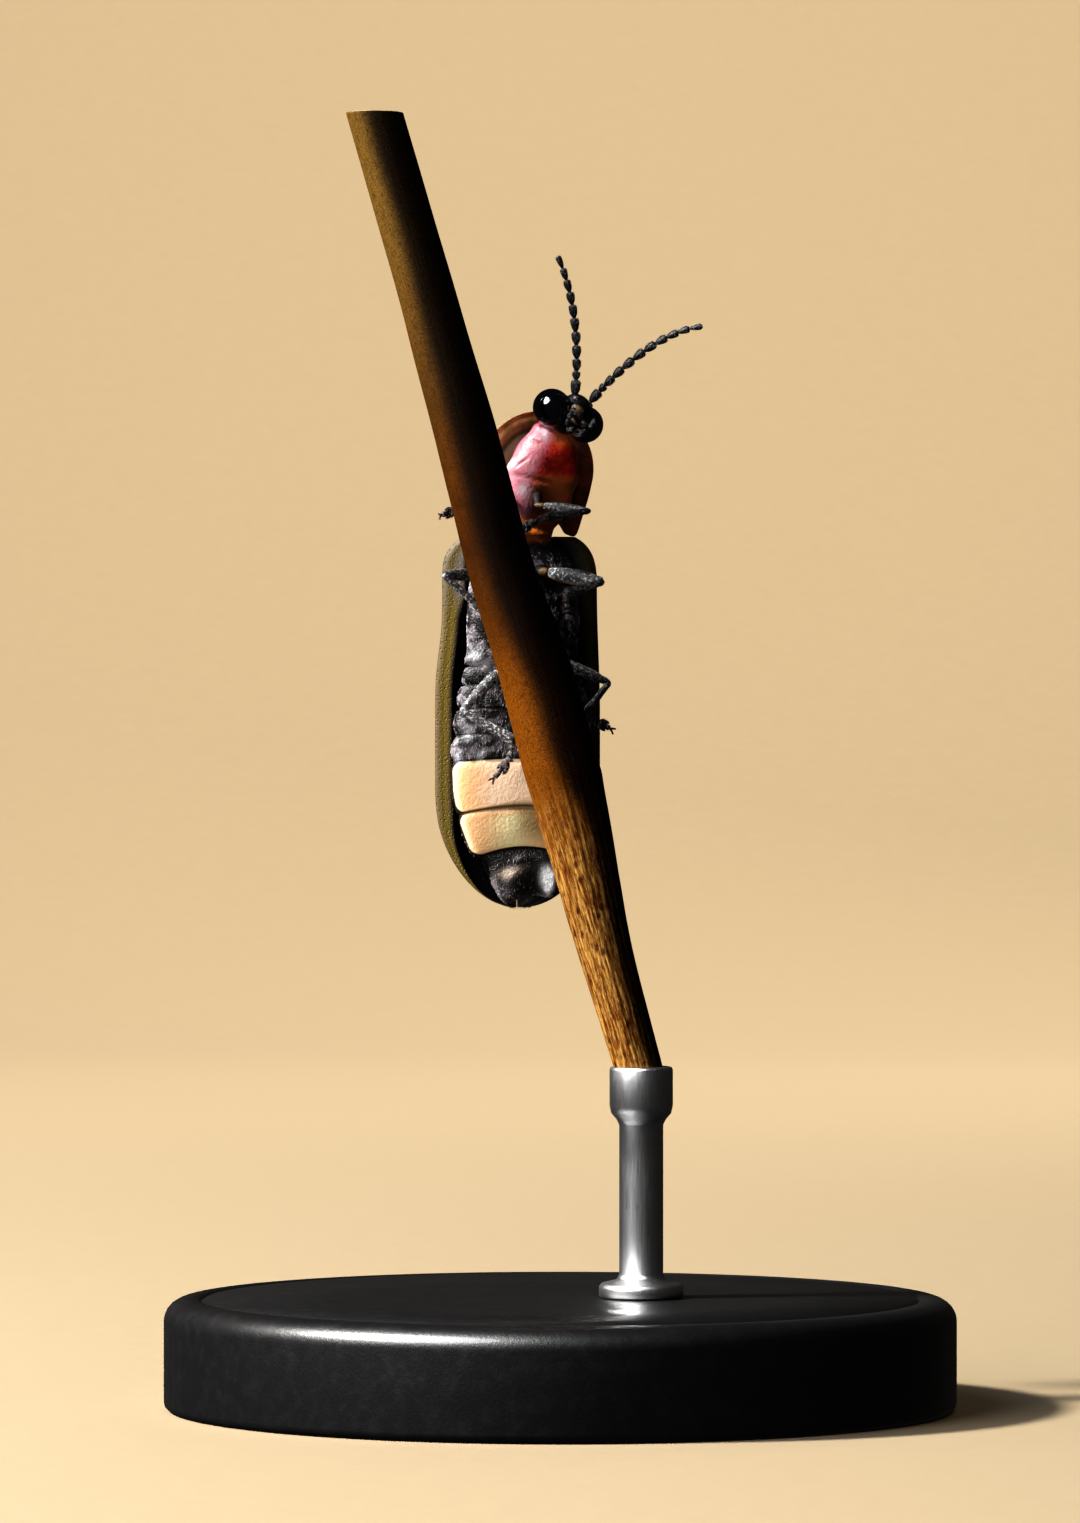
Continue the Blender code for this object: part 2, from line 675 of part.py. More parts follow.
def head():
    """The small head between the eyes: forehead, feeler sockets, upper lip, jaws, palps and nape."""
    place = head_frame()

    def lump(name, middle, radii):
        return ball(name, [m * MM for m in middle], [r * MM for r in radii], place, 12, 8)

    def hook(name, points, radii):
        return tube(name, [Vector(p) * MM for p in points], [r * MM for r in radii], place)

    pieces = [lump("skull", SKULL_MIDDLE, SKULL_RADII)]
    pieces.append(lump("forehead", (0.0, -0.20, 0.34), (0.30, 0.24, 0.22)))
    pieces.append(lump("lip", (0.0, -0.42, 0.10), (0.22, 0.16, 0.20)))
    pieces.append(lump("throat", (0.0, -0.40, -0.18), (0.26, 0.20, 0.22)))
    for side in (-1, 1):
        pieces.append(
            hook(
                f"jaw_{side}",
                ((side * 0.16, -0.44, -0.02), (side * 0.18, -0.62, -0.06), (side * 0.06, -0.74, -0.12)),
                (0.11, 0.09, 0.04),
            )
        )
        pieces.append(
            hook(
                f"palp_{side}",
                (
                    (side * 0.16, -0.42, -0.22), (side * 0.30, -0.60, -0.16),
                    (side * 0.34, -0.66, 0.02), (side * 0.30, -0.68, 0.16),
                ),
                (0.10, 0.11, 0.14, 0.05),
            )
        )
        pieces.append(
            hook(
                f"lip_palp_{side}",
                ((side * 0.12, -0.42, -0.28), (side * 0.16, -0.62, -0.36), (side * 0.17, -0.72, -0.32)),
                (0.08, 0.09, 0.05),
            )
        )
    whole = fuse(pieces, "head")
    sockets = [eye_solid(f"socket_{side}", side, EYE_SEAM) for side in (-1, 1)]
    finish(cut(whole, sockets), "dark")
    for name, side in (("eye_left", 1), ("eye_right", -1)):
        finish(eye_solid(name, side), "eye")


def bezier(points, share):
    """A point on the curve from the first of four points to the last, guided by the other two."""
    a, b, c, d = points
    rest = 1 - share
    return a * rest ** 3 + 3 * b * rest ** 2 * share + 3 * c * rest * share ** 2 + d * share ** 3


def antennae():
    """The feelers: eleven joints each, every one narrow at its foot and wide at its head."""
    for name, guides in ANTENNAE.items():
        guides = [HEAD_PLACE + Vector(g) * MM for g in guides]
        points, radii = [], []
        for joint in range(ANTENNA_JOINTS):
            taper = 1.0 if joint < ANTENNA_JOINTS - 2 else (0.86, 0.62)[joint - ANTENNA_JOINTS + 2]
            for share, girth in ((0.06, 0.80), (0.72, 1.0), (0.94, 0.96)):
                points.append(bezier(guides, (joint + share) / ANTENNA_JOINTS))
                radii.append(LEAST_RADIUS * girth * taper)
        points.append(bezier(guides, 1.0))
        radii[-1] *= 0.7
        radii.append(0.05 * MM)
        finish(tube(name, points, radii), "dark")


def leg(name):
    """One leg: hip, thigh, shin, a foot of five joints with a two-lobed fourth, and two claws."""
    hip, trochanter, knee, ankle, middle, toe = (Vector(p) * MM for p in LEGS[name])
    least = LEAST_RADIUS
    pieces = [
        tube(name, (hip, hip.lerp(trochanter, 0.5), trochanter), (1.1 * least, 1.1 * least, 1.0 * least)),
        tube(
            name + "_thigh",
            [trochanter.lerp(knee, s) for s in (-0.06, 0.1, 0.35, 0.65, 0.9, 1.04)],
            [least * r for r in (0.8, 1.0, 1.14, 1.1, 0.96, 0.78)],
        ),
        tube(
            name + "_shin",
            [knee.lerp(ankle, s) for s in (-0.08, 0.1, 0.55, 0.92, 1.0)],
            [least * r for r in (0.8, 0.94, 0.96, 1.02, 0.8)],
        ),
    ]
    track = [ankle.lerp(middle, s) for s in (-0.12, 0.12, 0.5, 0.56, 0.95)]
    track += [middle.lerp(toe, s) for s in (0.04, 0.4, 0.46, 0.78, 0.86)]
    girths = (0.6, 0.98, 1.05, 0.82, 1.05, 0.86, 1.12, 0.95, 1.0, 0.6)
    pieces.append(tube(name + "_foot", track, [least * r for r in girths]))
    along = (toe - middle).normalized()
    side = along.cross(Vector((0.0, 1.0, 0.3))).normalized()
    drop = along.cross(side).normalized()
    for hand in (-1, 1):
        root = middle.lerp(toe, 0.72) + side * hand * 0.08 * MM
        spread = root + along * 0.2 * MM + side * hand * 0.07 * MM
        tip = spread + along * 0.1 * MM + drop * 0.16 * MM
        pieces.append(tube(f"{name}_claw_{hand}", (root, spread, tip), (0.1 * MM, 0.09 * MM, 0.03 * MM)))
    whole = fuse(pieces, name)
    cutters = [
        stem_solid("stem_cutter", SEAM + STEM_FLUTE_DEPTH * MM, 0.0),
        thorax_solid("thorax_cutter", SEAM),
        prothorax_solid("prothorax_cutter", SEAM),
        abdomen_cutter(),
    ]
    return finish(cut(whole, cutters), "dark")


def build():
    stand()
    finish(stem_solid("stem"), "stem")
    elytra()
    thorax()
    waist()
    abdomen()
    pronotum()
    prothorax()
    head()
    antennae()
    for name in LEGS:
        leg(name)


build()
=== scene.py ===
"""The looks of a life-size firefly on a short cut grass stem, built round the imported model.

Sizes are in millimetres in the tables and in metres on every mesh. The belly faces -Y and the head is up.
Left and right are the firefly's own, so its left side is at +X.
"""

import math

import bmesh
import bpy
import numpy as np
from mathutils import Matrix, Vector


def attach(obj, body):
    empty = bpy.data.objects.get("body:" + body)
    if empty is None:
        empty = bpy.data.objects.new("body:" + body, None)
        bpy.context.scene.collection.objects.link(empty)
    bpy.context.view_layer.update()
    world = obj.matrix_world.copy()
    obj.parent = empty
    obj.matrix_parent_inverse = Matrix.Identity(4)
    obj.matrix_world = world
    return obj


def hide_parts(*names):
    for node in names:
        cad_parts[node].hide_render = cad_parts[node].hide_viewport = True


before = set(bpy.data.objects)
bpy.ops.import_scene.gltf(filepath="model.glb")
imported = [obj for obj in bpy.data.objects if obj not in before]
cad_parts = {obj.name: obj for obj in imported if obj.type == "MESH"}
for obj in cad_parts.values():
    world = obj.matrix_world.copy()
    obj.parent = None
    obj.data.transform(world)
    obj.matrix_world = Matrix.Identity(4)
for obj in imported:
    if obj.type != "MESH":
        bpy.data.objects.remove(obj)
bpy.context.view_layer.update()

MM = 0.001
SEED = 7
WAVES = 28  # summed up for the blotches

# Camera: level, as far off as the photograph's depth of view asks, with its frame's height at the insect
CAMERA_AIM = (-0.46, 2.0, 14.69)
CAMERA_DISTANCE = 168.0
FRAME_HEIGHT = 35.03
SENSOR = 36.0

# Stem: its cut foot and top, its sideways place by height, its radius by height, and its lean in degrees
STEM_FOOT = (1.84, 0.0, 7.48)
STEM_TOP = 29.44
STEM_LINE = (
    (7.48, 1.84), (11.0, 0.85), (12.0, 0.62), (13.0, 0.395), (14.3, 0.075), (15.7, -0.28),
    (16.9, -0.62), (17.7, -0.88), (18.6, -1.19), (19.5, -1.47), (20.5, -1.725), (22.0, -2.11),
    (24.0, -2.665), (26.0, -3.225), (28.0, -3.81), (STEM_TOP, -4.22),
)
STEM_RADII = (
    (7.4, 0.55), (8.7, 0.575), (10.1, 0.62), (12.0, 0.72), (13.8, 0.84), (14.6, 0.88),
    (17.0, 0.86), (19.8, 0.76), (22.5, 0.73), (25.3, 0.67), (29.5, 0.65),
)
STEM_LEAN = 15.4

# Cut ends of the stem: their share of its radius, and their rise beyond the bark
CUT_RISE = 0.012
CUT_PROFILE = ((0.40, -0.03), (0.93, -0.02), (0.965, 0.004), (0.93, 0.010), (0.6, 0.011), (0.2, CUT_RISE))

# Stand, with the line turned into the base's top, and the rod's foot ring and cup, as (radius, height) pairs
BASE_RADIUS = 9.0
BASE_HEIGHT = 2.5
BASE_EDGE = 0.5
BASE_LINE = ((8.22, 0.0), (8.20, 0.04), (8.14, 0.06), (8.08, 0.04), (8.06, 0.0), (5.0, 0.0), (2.0, 0.0))
ROD_RADIUS = 0.5
ROD_TOP = 7.18
ROD_FOOT = (
    (0.30, 0.004), (0.90, 0.004), (0.96, 0.05), (0.96, 0.26), (0.90, 0.34), (0.56, 0.42), (ROD_RADIUS, 0.55),
)
ROD_CUP = (
    (ROD_RADIUS, -0.75), (0.56, -0.62), (0.68, -0.48), (0.72, -0.30), (0.72, 0.50), (0.70, 0.56),
    (0.64, 0.58), (0.60, 0.52), (0.585, 0.30), (0.30, 0.29),
)

# Studio: the floor's reach, the curve at its back, and each light's place, size, power and colour
FLOOR_REACH = 900.0
COVE_START = 200.0
COVE_RADIUS = 220.0
COVE_AIM = (0.0, 420.0, 90.0)
LIGHTS = (
    ("window_left", (-150, -36, 140), 26, 26, 0.78, (1.0, 0.97, 0.92)),
    ("front_fill", (-110, -150, 40), 90, 90, 0.21, (1.0, 0.95, 0.88)),
    ("side_left", (-170, 10, 20), 40, 60, 0.07, (1.0, 0.95, 0.88)),
    ("back_soft", (70, 190, 120), 120, 120, 0.10, (1.0, 0.96, 0.90)),
    ("spark", (-130, -96, 154), 200, 145, 1.6, (1.0, 1.0, 1.0)),
    ("cove_glow", (0, 150, 250), 300, 160, 1.06, (1.0, 0.955, 0.90)),
)

# Body frames: x across, y to the back, z forwards, with the body's origin in the middle of the thorax
BODY_PLACE = (-0.94, 2.7, 18.4)
BODY_YAW = 8.0
PROTHORAX_PLACE = (-0.76, 3.05, 20.04)
PROTHORAX_TURN = (8.0, 8.5, 12.0)
HEAD_PLACE = (0.196, 1.55, 22.63)
HEAD_EYE_AXIS = (0.781, 0.469, -0.41)
HEAD_FORWARD = (0.465, 0.0, 0.885)


def smooth(low, high, value):
    """0 below low and 1 above high, with a soft turn between."""
    share = np.clip((np.asarray(value, float) - low) / (high - low), 0.0, 1.0)
    return share * share * (3 - 2 * share)


def hill(middle, width, value):
    """A soft bump of height 1 at middle."""
    return np.exp(-(((np.asarray(value, float) - middle) / width) ** 2))


def band(start, full, fading, end, value):
    """1 from full to fading and 0 beyond start and end, with soft turns between."""
    return smooth(start, full, value) * (1 - smooth(fading, end, value))


def blotches(points, size, low, high):
    """Soft scattered patches about this size in mm, from 0 to 1, over points in mm."""
    chance = np.random.default_rng(SEED)
    ways = chance.normal(size=(3, WAVES))
    ways = ways / np.linalg.norm(ways, axis=0) * chance.uniform(0.6, 1.6, WAVES)
    waves = np.cos(points @ ways * (math.pi / size) + chance.uniform(0.0, 2 * math.pi, WAVES))
    return smooth(low, high, waves.sum(-1) / math.sqrt(WAVES / 2))


def ease_through(table, at):
    """A smooth line through rows of (place, value, value...), without overshoot, read at places."""
    table = np.array(table, float)
    place, values = table[:, 0], table[:, 1:]
    gaps = np.diff(place)[:, None]
    slopes = np.diff(values, axis=0) / gaps
    tangents = np.zeros_like(values)
    before, after = slopes[:-1], slopes[1:]
    same_way = before * after > 0
    total = np.where(same_way, before + after, 1.0)
    tangents[1:-1] = np.where(same_way, 2 * before * after / total, 0.0)
    tangents[0], tangents[-1] = slopes[0], slopes[-1]
    at = np.clip(np.asarray(at, float), place[0], place[-1])
    row = np.clip(np.searchsorted(place, at) - 1, 0, len(place) - 2)
    gap = gaps[row]
    share = (at - place[row])[..., None] / gap
    first, second = values[row], values[row + 1]
    rest = 1 - share
    return (
        first * (1 + 2 * share) * rest ** 2
        + second * (3 - 2 * share) * share ** 2
        + gap * share * rest * (tangents[row] * rest - tangents[row + 1] * share)
    )


def signed_power(value, exponent):
    """A power that keeps the sign, for squared-off rounds."""
    return np.sign(value) * np.abs(value) ** exponent


def placed(matrix, points):
    """Points in mm in a frame, taken to the model's own frame in mm."""
    turn = np.array(matrix.to_3x3())
    return np.asarray(points, float) @ turn.T + np.array(matrix.translation)


def circle(steps):
    """Even angles, once round."""
    return np.linspace(0.0, 2 * math.pi, steps, endpoint=False)


def unit(vectors):
    """Vectors brought to length 1."""
    return vectors / np.maximum(np.linalg.norm(vectors, axis=-1, keepdims=True), 1e-9)


def lengths_along(points):
    """How far along a line each of its points lies."""
    return np.append(0.0, np.cumsum(np.linalg.norm(np.diff(points, axis=0), axis=1)))


def patch(x, z, wide, high, across, up):
    """A soft patch of height 1 at x and z, with its half width and half height."""
    return hill(x, wide, across) * hill(z, high, up)


def body_frame():
    """The thorax's own frame, which the belly, the wing cases and the scutellum share."""
    return Matrix.Translation(BODY_PLACE) @ Matrix.Rotation(math.radians(BODY_YAW), 4, "Z")


def prothorax_frame():
    """The frame of the pink prothorax and the shield over it."""
    pitch, tilt, yaw = (math.radians(turn) for turn in PROTHORAX_TURN)
    turn = Matrix.Rotation(yaw, 4, "Z") @ Matrix.Rotation(tilt, 4, "Y") @ Matrix.Rotation(pitch, 4, "X")
    return Matrix.Translation(PROTHORAX_PLACE) @ turn


def head_frame():
    """The head's frame, whose x runs through both eyes and whose z looks ahead."""
    forward = Vector(HEAD_FORWARD).normalized()
    across = Vector(HEAD_EYE_AXIS)
    across = (across - forward * across.dot(forward)).normalized()
    back = forward.cross(across)
    return Matrix.Translation(HEAD_PLACE) @ Matrix((across, back, forward)).transposed().to_4x4()


class Socket:
    """An output of a shader node, on which arithmetic makes Math nodes."""

    def __init__(self, paint, link):
        self.paint = paint
        self.link = link

    def maths(self, operation, *values):
        return self.paint.node("ShaderNodeMath", {"operation": operation}, dict(enumerate(values)))

    def __add__(self, other):
        return self.maths("ADD", self, other)

    def __sub__(self, other):
        return self.maths("SUBTRACT", self, other)

    def __mul__(self, other):
        return self.maths("MULTIPLY", self, other)

    def __rsub__(self, other):
        return self.maths("SUBTRACT", other, self)

    def greater(self, other):
        return self.maths("MAXIMUM", self, other)

    __radd__ = __add__


class Paint:
    """A material in the making, whose patterns are in millimetres on the object's own coordinates."""

    def __init__(self, name):
        self.material = bpy.data.materials.new(name)
        self.material.use_nodes = True
        self.tree = self.material.node_tree
        self.tree.nodes.clear()
        where = self.node("ShaderNodeTexCoord", output="Object")
        self.place = self.node("ShaderNodeVectorMath", {"operation": "SCALE"}, {0: where, "Scale": 1 / MM})

    def node(self, kind, settings=None, inputs=None, output=0):
        """Any node: its settings first, then the values or links of its sockets."""
        made = self.tree.nodes.new(kind)
        for key, value in (settings or {}).items():
            setattr(made, key, value)
        for key, value in (inputs or {}).items():
            if isinstance(value, Socket):
                self.tree.links.new(value.link, made.inputs[key])
            else:
                made.inputs[key].default_value = value
        return Socket(self, made.outputs[output])

    def axis(self, name):
        return self.node("ShaderNodeSeparateXYZ", inputs={0: self.place}, output=name)

    def mask(self, name):
        """A mask painted on the mesh."""
        return self.node("ShaderNodeAttribute", {"attribute_name": name}, output="Fac")

    def stretched(self, x, y, z, place=None):
        """The place, squeezed along each axis, for patterns that run one way."""
        inputs = {0: place or self.place, 1: (x, y, z)}
        return self.node("ShaderNodeVectorMath", {"operation": "MULTIPLY"}, inputs)

    def noise(self, scale, detail=3.0, roughness=0.55, place=None):
        inputs = {"Vector": place or self.place, "Scale": scale, "Detail": detail, "Roughness": roughness}
        return self.node("ShaderNodeTexNoise", inputs=inputs)

    def cells(self, scale, feature="F1", place=None, randomness=1.0):
        inputs = {"Vector": place or self.place, "Scale": scale, "Randomness": randomness}
        return self.node("ShaderNodeTexVoronoi", {"feature": feature}, inputs, "Distance")

    def ramp(self, value, low, high, first=0.0, last=1.0):
        """A soft step from first to last as the value goes from low to high."""
        inputs = {"Value": value, "From Min": low, "From Max": high, "To Min": first, "To Max": last}
        return self.node("ShaderNodeMapRange", {"interpolation_type": "SMOOTHSTEP"}, inputs)

    def mix(self, share, first, second):
        """A colour between two others."""
        settings = {"data_type": "RGBA", "clamp_factor": True}
        return self.node("ShaderNodeMix", settings, {0: share, 6: rgba(first), 7: rgba(second)}, 2)

    def over(self, colour, *layers):
        """A colour with others laid over it in turn, each by its share or by the mask of that name."""
        for share, tint in layers:
            colour = self.mix(self.mask(share) if isinstance(share, str) else share, colour, tint)
        return colour

    def bump(self, height, depth):
        """Relief of this depth in millimetres."""
        return self.node("ShaderNodeBump", inputs={"Strength": 1.0, "Distance": depth * MM, "Height": height})

    def done(self, colour, roughness, normal, **constants):
        """Links the surface and sets the finish's constant values on their sockets."""
        inputs = {"Base Color": rgba(colour), "Roughness": roughness, "Normal": normal}
        for key, value in constants.items():
            inputs[key.replace("_", " ")] = value
        surface = self.node("ShaderNodeBsdfPrincipled", inputs=inputs)
        out = self.tree.nodes.new("ShaderNodeOutputMaterial")
        self.tree.links.new(surface.link, out.inputs["Surface"])
        return self.material


def rgba(colour):
    """A colour of three numbers with full opacity, or a link as it is."""
    return colour if isinstance(colour, Socket) else (*colour, 1.0)


def object_of(name, mesh, material):
    """A piece in the scene with this mesh and material."""
    made = bpy.data.objects.new(name, mesh)
    bpy.context.scene.collection.objects.link(made)
    mesh.materials.clear()
    mesh.materials.append(material)
    mesh.shade_smooth()
    return made


def add_mask(mesh, name, values):
    """Stores a painted mask, one number a point."""
    layer = mesh.attributes.new(name, "FLOAT", "POINT")
    layer.data.foreach_set("value", np.asarray(values, np.float32).ravel())


def add_vectors(mesh, name, values):
    """Stores one vector a point."""
    layer = mesh.attributes.new(name, "FLOAT_VECTOR", "POINT")
    layer.data.foreach_set("vector", np.asarray(values, np.float32).ravel())


class Form:
    """Closed rows of points gathered into one mesh, with masks and places on a shared unwrap."""

    def __init__(self):
        self.points = []
        self.faces = []
        self.masks = {}
        self.lies = []
        self.flat = []
        self.count = 0

    def add(self, rows, masks=None, flat=(0.0, 0.0, 1.0, 1.0), lie=1):
        """A closed skin through rows of points in mm (row, step round, xyz), with a fan at each end.

        Its hairs lie from the first row to the last, or the other way where lie is -1.
        """
        rows = np.asarray(rows, float)
        along = unit(np.gradient(rows, axis=0) * lie)
        self.lies.append(np.vstack([along.reshape(-1, 3), along[0].mean(0), along[-1].mean(0)]))
        lines, steps, _ = rows.shape
        ends = np.array([rows[0].mean(0), rows[-1].mean(0)])
        self.points.append(np.vstack([rows.reshape(-1, 3), ends]))
        line, step = np.meshgrid(np.arange(lines - 1), np.arange(steps), indexing="ij")
        after = (step + 1) % steps
        first, last = self.count + lines * steps, self.count + lines * steps + 1
        here, ahead = line * steps, (line + 1) * steps
        quads = np.stack([here + step, here + after, ahead + after, ahead + step], -1)
        self.faces += (quads.reshape(-1, 4) + self.count).tolist()
        low, high = self.count, self.count + (lines - 1) * steps
        for i in range(steps):
            follow = (i + 1) % steps
            self.faces.append([first, low + follow, low + i])
            self.faces.append([last, high + i, high + follow])
        across, along = np.meshgrid(np.arange(steps) / steps, np.linspace(0.0, 1.0, lines))
        u0, v0, u1, v1 = flat
        u = np.append(across.ravel(), [0.5, 0.5]) * (u1 - u0) + u0
        v = np.append(along.ravel(), [0.0, 1.0]) * (v1 - v0) + v0
        self.flat.append(np.stack([u, v, np.full(len(u), u1 - u0)], -1))
        for name in sorted(set(self.masks) | set(masks or {})):
            old = self.masks.get(name, np.zeros(self.count))
            new = np.broadcast_to(np.asarray((masks or {}).get(name, 0.0), float), (lines, steps))
            new = np.append(new.ravel(), [new[0].mean(), new[-1].mean()])
            self.masks[name] = np.concatenate([old, new])
        self.count += lines * steps + 2
        return self

    def made(self, name, material):
        """The gathered rows as one object, with its faces pointing out and its unwrap as a UV map."""
        points = np.vstack(self.points) * MM
        mesh = bpy.data.meshes.new(name)
        mesh.from_pydata(points.tolist(), [], self.faces)
        for mask, values in self.masks.items():
            add_mask(mesh, mask, values)
        add_vectors(mesh, "lie", np.vstack(self.lies))
        bm = bmesh.new()
        bm.from_mesh(mesh)
        bmesh.ops.recalc_face_normals(bm, faces=bm.faces)
        bm.to_mesh(mesh)
        bm.free()
        corner = np.zeros(len(mesh.loops), int)
        mesh.loops.foreach_get("vertex_index", corner)
        start = np.zeros(len(mesh.polygons), int)
        mesh.polygons.foreach_get("loop_start", start)
        flat = np.vstack(self.flat)
        u, v, wide = flat[corner].T
        # A face over the seam of the round has corners at both ends of u, so its low ones move past the end
        low, high = np.minimum.reduceat(u, start), np.maximum.reduceat(u, start)
        counts = np.diff(np.append(start, len(corner)))
        low, high = np.repeat(low, counts), np.repeat(high, counts)
        u = np.where((high - low > 0.6 * wide) & (u < low + 0.3 * wide), u + wide, u)
        layer = mesh.uv_layers.new(name="unwrap")
        layer.data.foreach_set("uv", np.stack([u, v], -1).astype(np.float32).ravel())
        return object_of(name, mesh, material)


def skin_paint():
    """The body's skin: black cuticle with silver down, pink prothorax, amber joint, cream light organs, and
    painted highlights and shade.
    """
    paint = Paint("firefly_skin")
    speckle = paint.noise(9.0, 5.0, 0.7)
    cloud = paint.noise(2.2, 3.0)
    grain = paint.noise(60.0, 3.0, 0.7)
    silver = paint.ramp(paint.mask("silver") * (speckle * 2.4 - 0.30), 0.05, 0.95)
    # Painted shade: dark crimson, laid over the pink's shadowed +X side
    crimson = paint.mix(paint.ramp(speckle, 0.35, 0.7), (0.46, 0.008, 0.004), (0.70, 0.065, 0.018))
    blush = paint.over(
        paint.mix(paint.ramp(cloud, 0.35, 0.65), (0.46, 0.145, 0.20), (0.54, 0.25, 0.29)),
        # Painted highlights: near-white pink on the pink's left side
        ("pearl", (0.60, 0.47, 0.53)),
        (paint.mask("crimson") * (cloud * 0.7 + 0.62), crimson),
        (paint.mask("rust") * (cloud * 0.7 + 0.5), (0.78, 0.24, 0.05)),
        # Painted shade: dark red in the pink's creases
        ("crease", (0.34, 0.045, 0.04)),
        ("flank", (0.11, 0.022, 0.008)),
    )
    # Painted shade: the light organs are painted darker peach towards -X, on the side that faces the window
    # light
    lit_side_shade = paint.ramp(paint.axis("X") + cloud * 0.5, -1.90, -1.10)
    glow = paint.over(
        paint.mix(lit_side_shade, (0.82, 0.51, 0.28), (0.96, 0.74, 0.57)),
        (paint.ramp(paint.axis("Z"), 13.8, 13.4), (0.70, 0.43, 0.235)),
        (paint.mask("lime") * 0.85, (0.80, 0.78, 0.50)),
        ("rim", (0.78, 0.68, 0.45)),
        (paint.ramp(grain, 0.62, 0.75) * 0.12, (0.55, 0.40, 0.22)),
    )
    colour = paint.over(
        paint.mix(cloud, (0.003, 0.0025, 0.003), (0.016, 0.013, 0.013)),
        (silver * 0.80, (0.34, 0.31, 0.35)),
        # Painted highlights: bluish-white glints, laid over speckle
        (paint.mask("frost") * (speckle * 2.4 - 0.35), (0.88, 0.92, 1.0)),
        (paint.mask("bone") * (speckle * 1.6 - 0.05), (0.66, 0.55, 0.46)),
        ("amber", paint.mix(cloud, (0.45, 0.13, 0.018), (0.82, 0.28, 0.05))),
        ("pink", blush),
        ("lamp", glow),
        # Painted shadow: olive-brown along the seam between the light organs and over the second one towards
        # the stem
        ("seam", (0.16, 0.105, 0.03)),
    )
    soft = paint.mask("pink").greater(paint.mask("lamp"))
    rough = paint.ramp(soft, 0.0, 1.0, 0.42, 0.36) + grain * 0.12
    scales = paint.cells(26.0, "SMOOTH_F1")
    relief = scales * (1.0 - soft * 0.85) + speckle * 0.6 + paint.noise(14.0) * soft * 0.8
    return paint.done(
        colour, rough, paint.bump(relief, 0.016),
        Specular_IOR_Level=0.3,
        Subsurface_Weight=0.12, Subsurface_Radius=(1.0, 0.5, 0.3), Subsurface_Scale=0.12 * MM,
    )


def wing_case_paint():
    """The wing cases: blackish brown and finely pitted, with straw-yellow side and inner edges, and a pale
    lilac turned-in rim near the shoulders that is partly painted highlight.
    """
    paint = Paint("wing_case")
    cloud = paint.noise(1.6, 3.0)
    grain = paint.noise(34.0, 4.0, 0.65)
    speckle = paint.ramp(paint.noise(22.0, 3.0, 0.7), 0.45, 0.68)
    pits = paint.ramp(paint.cells(15.0), 0.0, 0.42)
    colour = paint.over(
        paint.mix(cloud, (0.010, 0.007, 0.005), (0.034, 0.023, 0.014)),
        (speckle * 0.22, (0.10, 0.075, 0.045)),
        ("straw", paint.mix(grain, (0.15, 0.105, 0.010), (0.27, 0.19, 0.030))),
        ("beige", paint.mix(grain, (0.11, 0.075, 0.030), (0.19, 0.14, 0.060))),
        # Pale lilac on the turned-in rim: partly its own pale colour, partly a painted highlight at the
        # shoulder
        ("lilac", paint.mix(grain, (0.13, 0.115, 0.105), (0.26, 0.235, 0.21))),
        ("lining", (0.012, 0.009, 0.009)),
    )
    height = pits * 0.8 + grain * 0.35
    return paint.done(colour, 0.50 + grain * 0.16, paint.bump(height, 0.022), Specular_IOR_Level=0.25)


def shield_paint():
    """The pronotum: a rose disc with a black middle spot and a clear straw-brown rim, with painted shade on
    its underside next to the body.
    """
    paint = Paint("shield")
    cloud = paint.noise(2.6, 4.0)
    grain = paint.noise(40.0, 4.0, 0.65)
    pits = paint.ramp(paint.cells(17.0), 0.0, 0.45)
    spot = paint.ramp(paint.mask("spot") + (cloud - 0.5) * 0.3, 0.4, 0.6)
    colour = paint.over(
        paint.mix(cloud, (0.33, 0.155, 0.055), (0.56, 0.33, 0.15)),
        ("rose", paint.mix(cloud, (0.66, 0.17, 0.13), (0.86, 0.40, 0.34))),
        (spot, (0.010, 0.008, 0.008)),
        ("under", paint.mix(paint.ramp(cloud, 0.35, 0.62), (0.32, 0.17, 0.055), (0.60, 0.30, 0.15))),
        # Painted shade on the underside's inner part next to the body, and a darker outer edge
        ("brown", (0.060, 0.026, 0.012)),
    )
    under = paint.mask("under")
    height = pits * (1.0 - under) * 0.7 + grain * 0.4 + paint.noise(7.0) * 0.6
    return paint.done(
        colour, 0.42 + grain * 0.14 + under * 0.3, paint.bump(height, 0.018),
        Specular_IOR_Level=0.15,
        Subsurface_Weight=0.30, Subsurface_Radius=(1.0, 0.45, 0.2), Subsurface_Scale=0.25 * MM,
    )


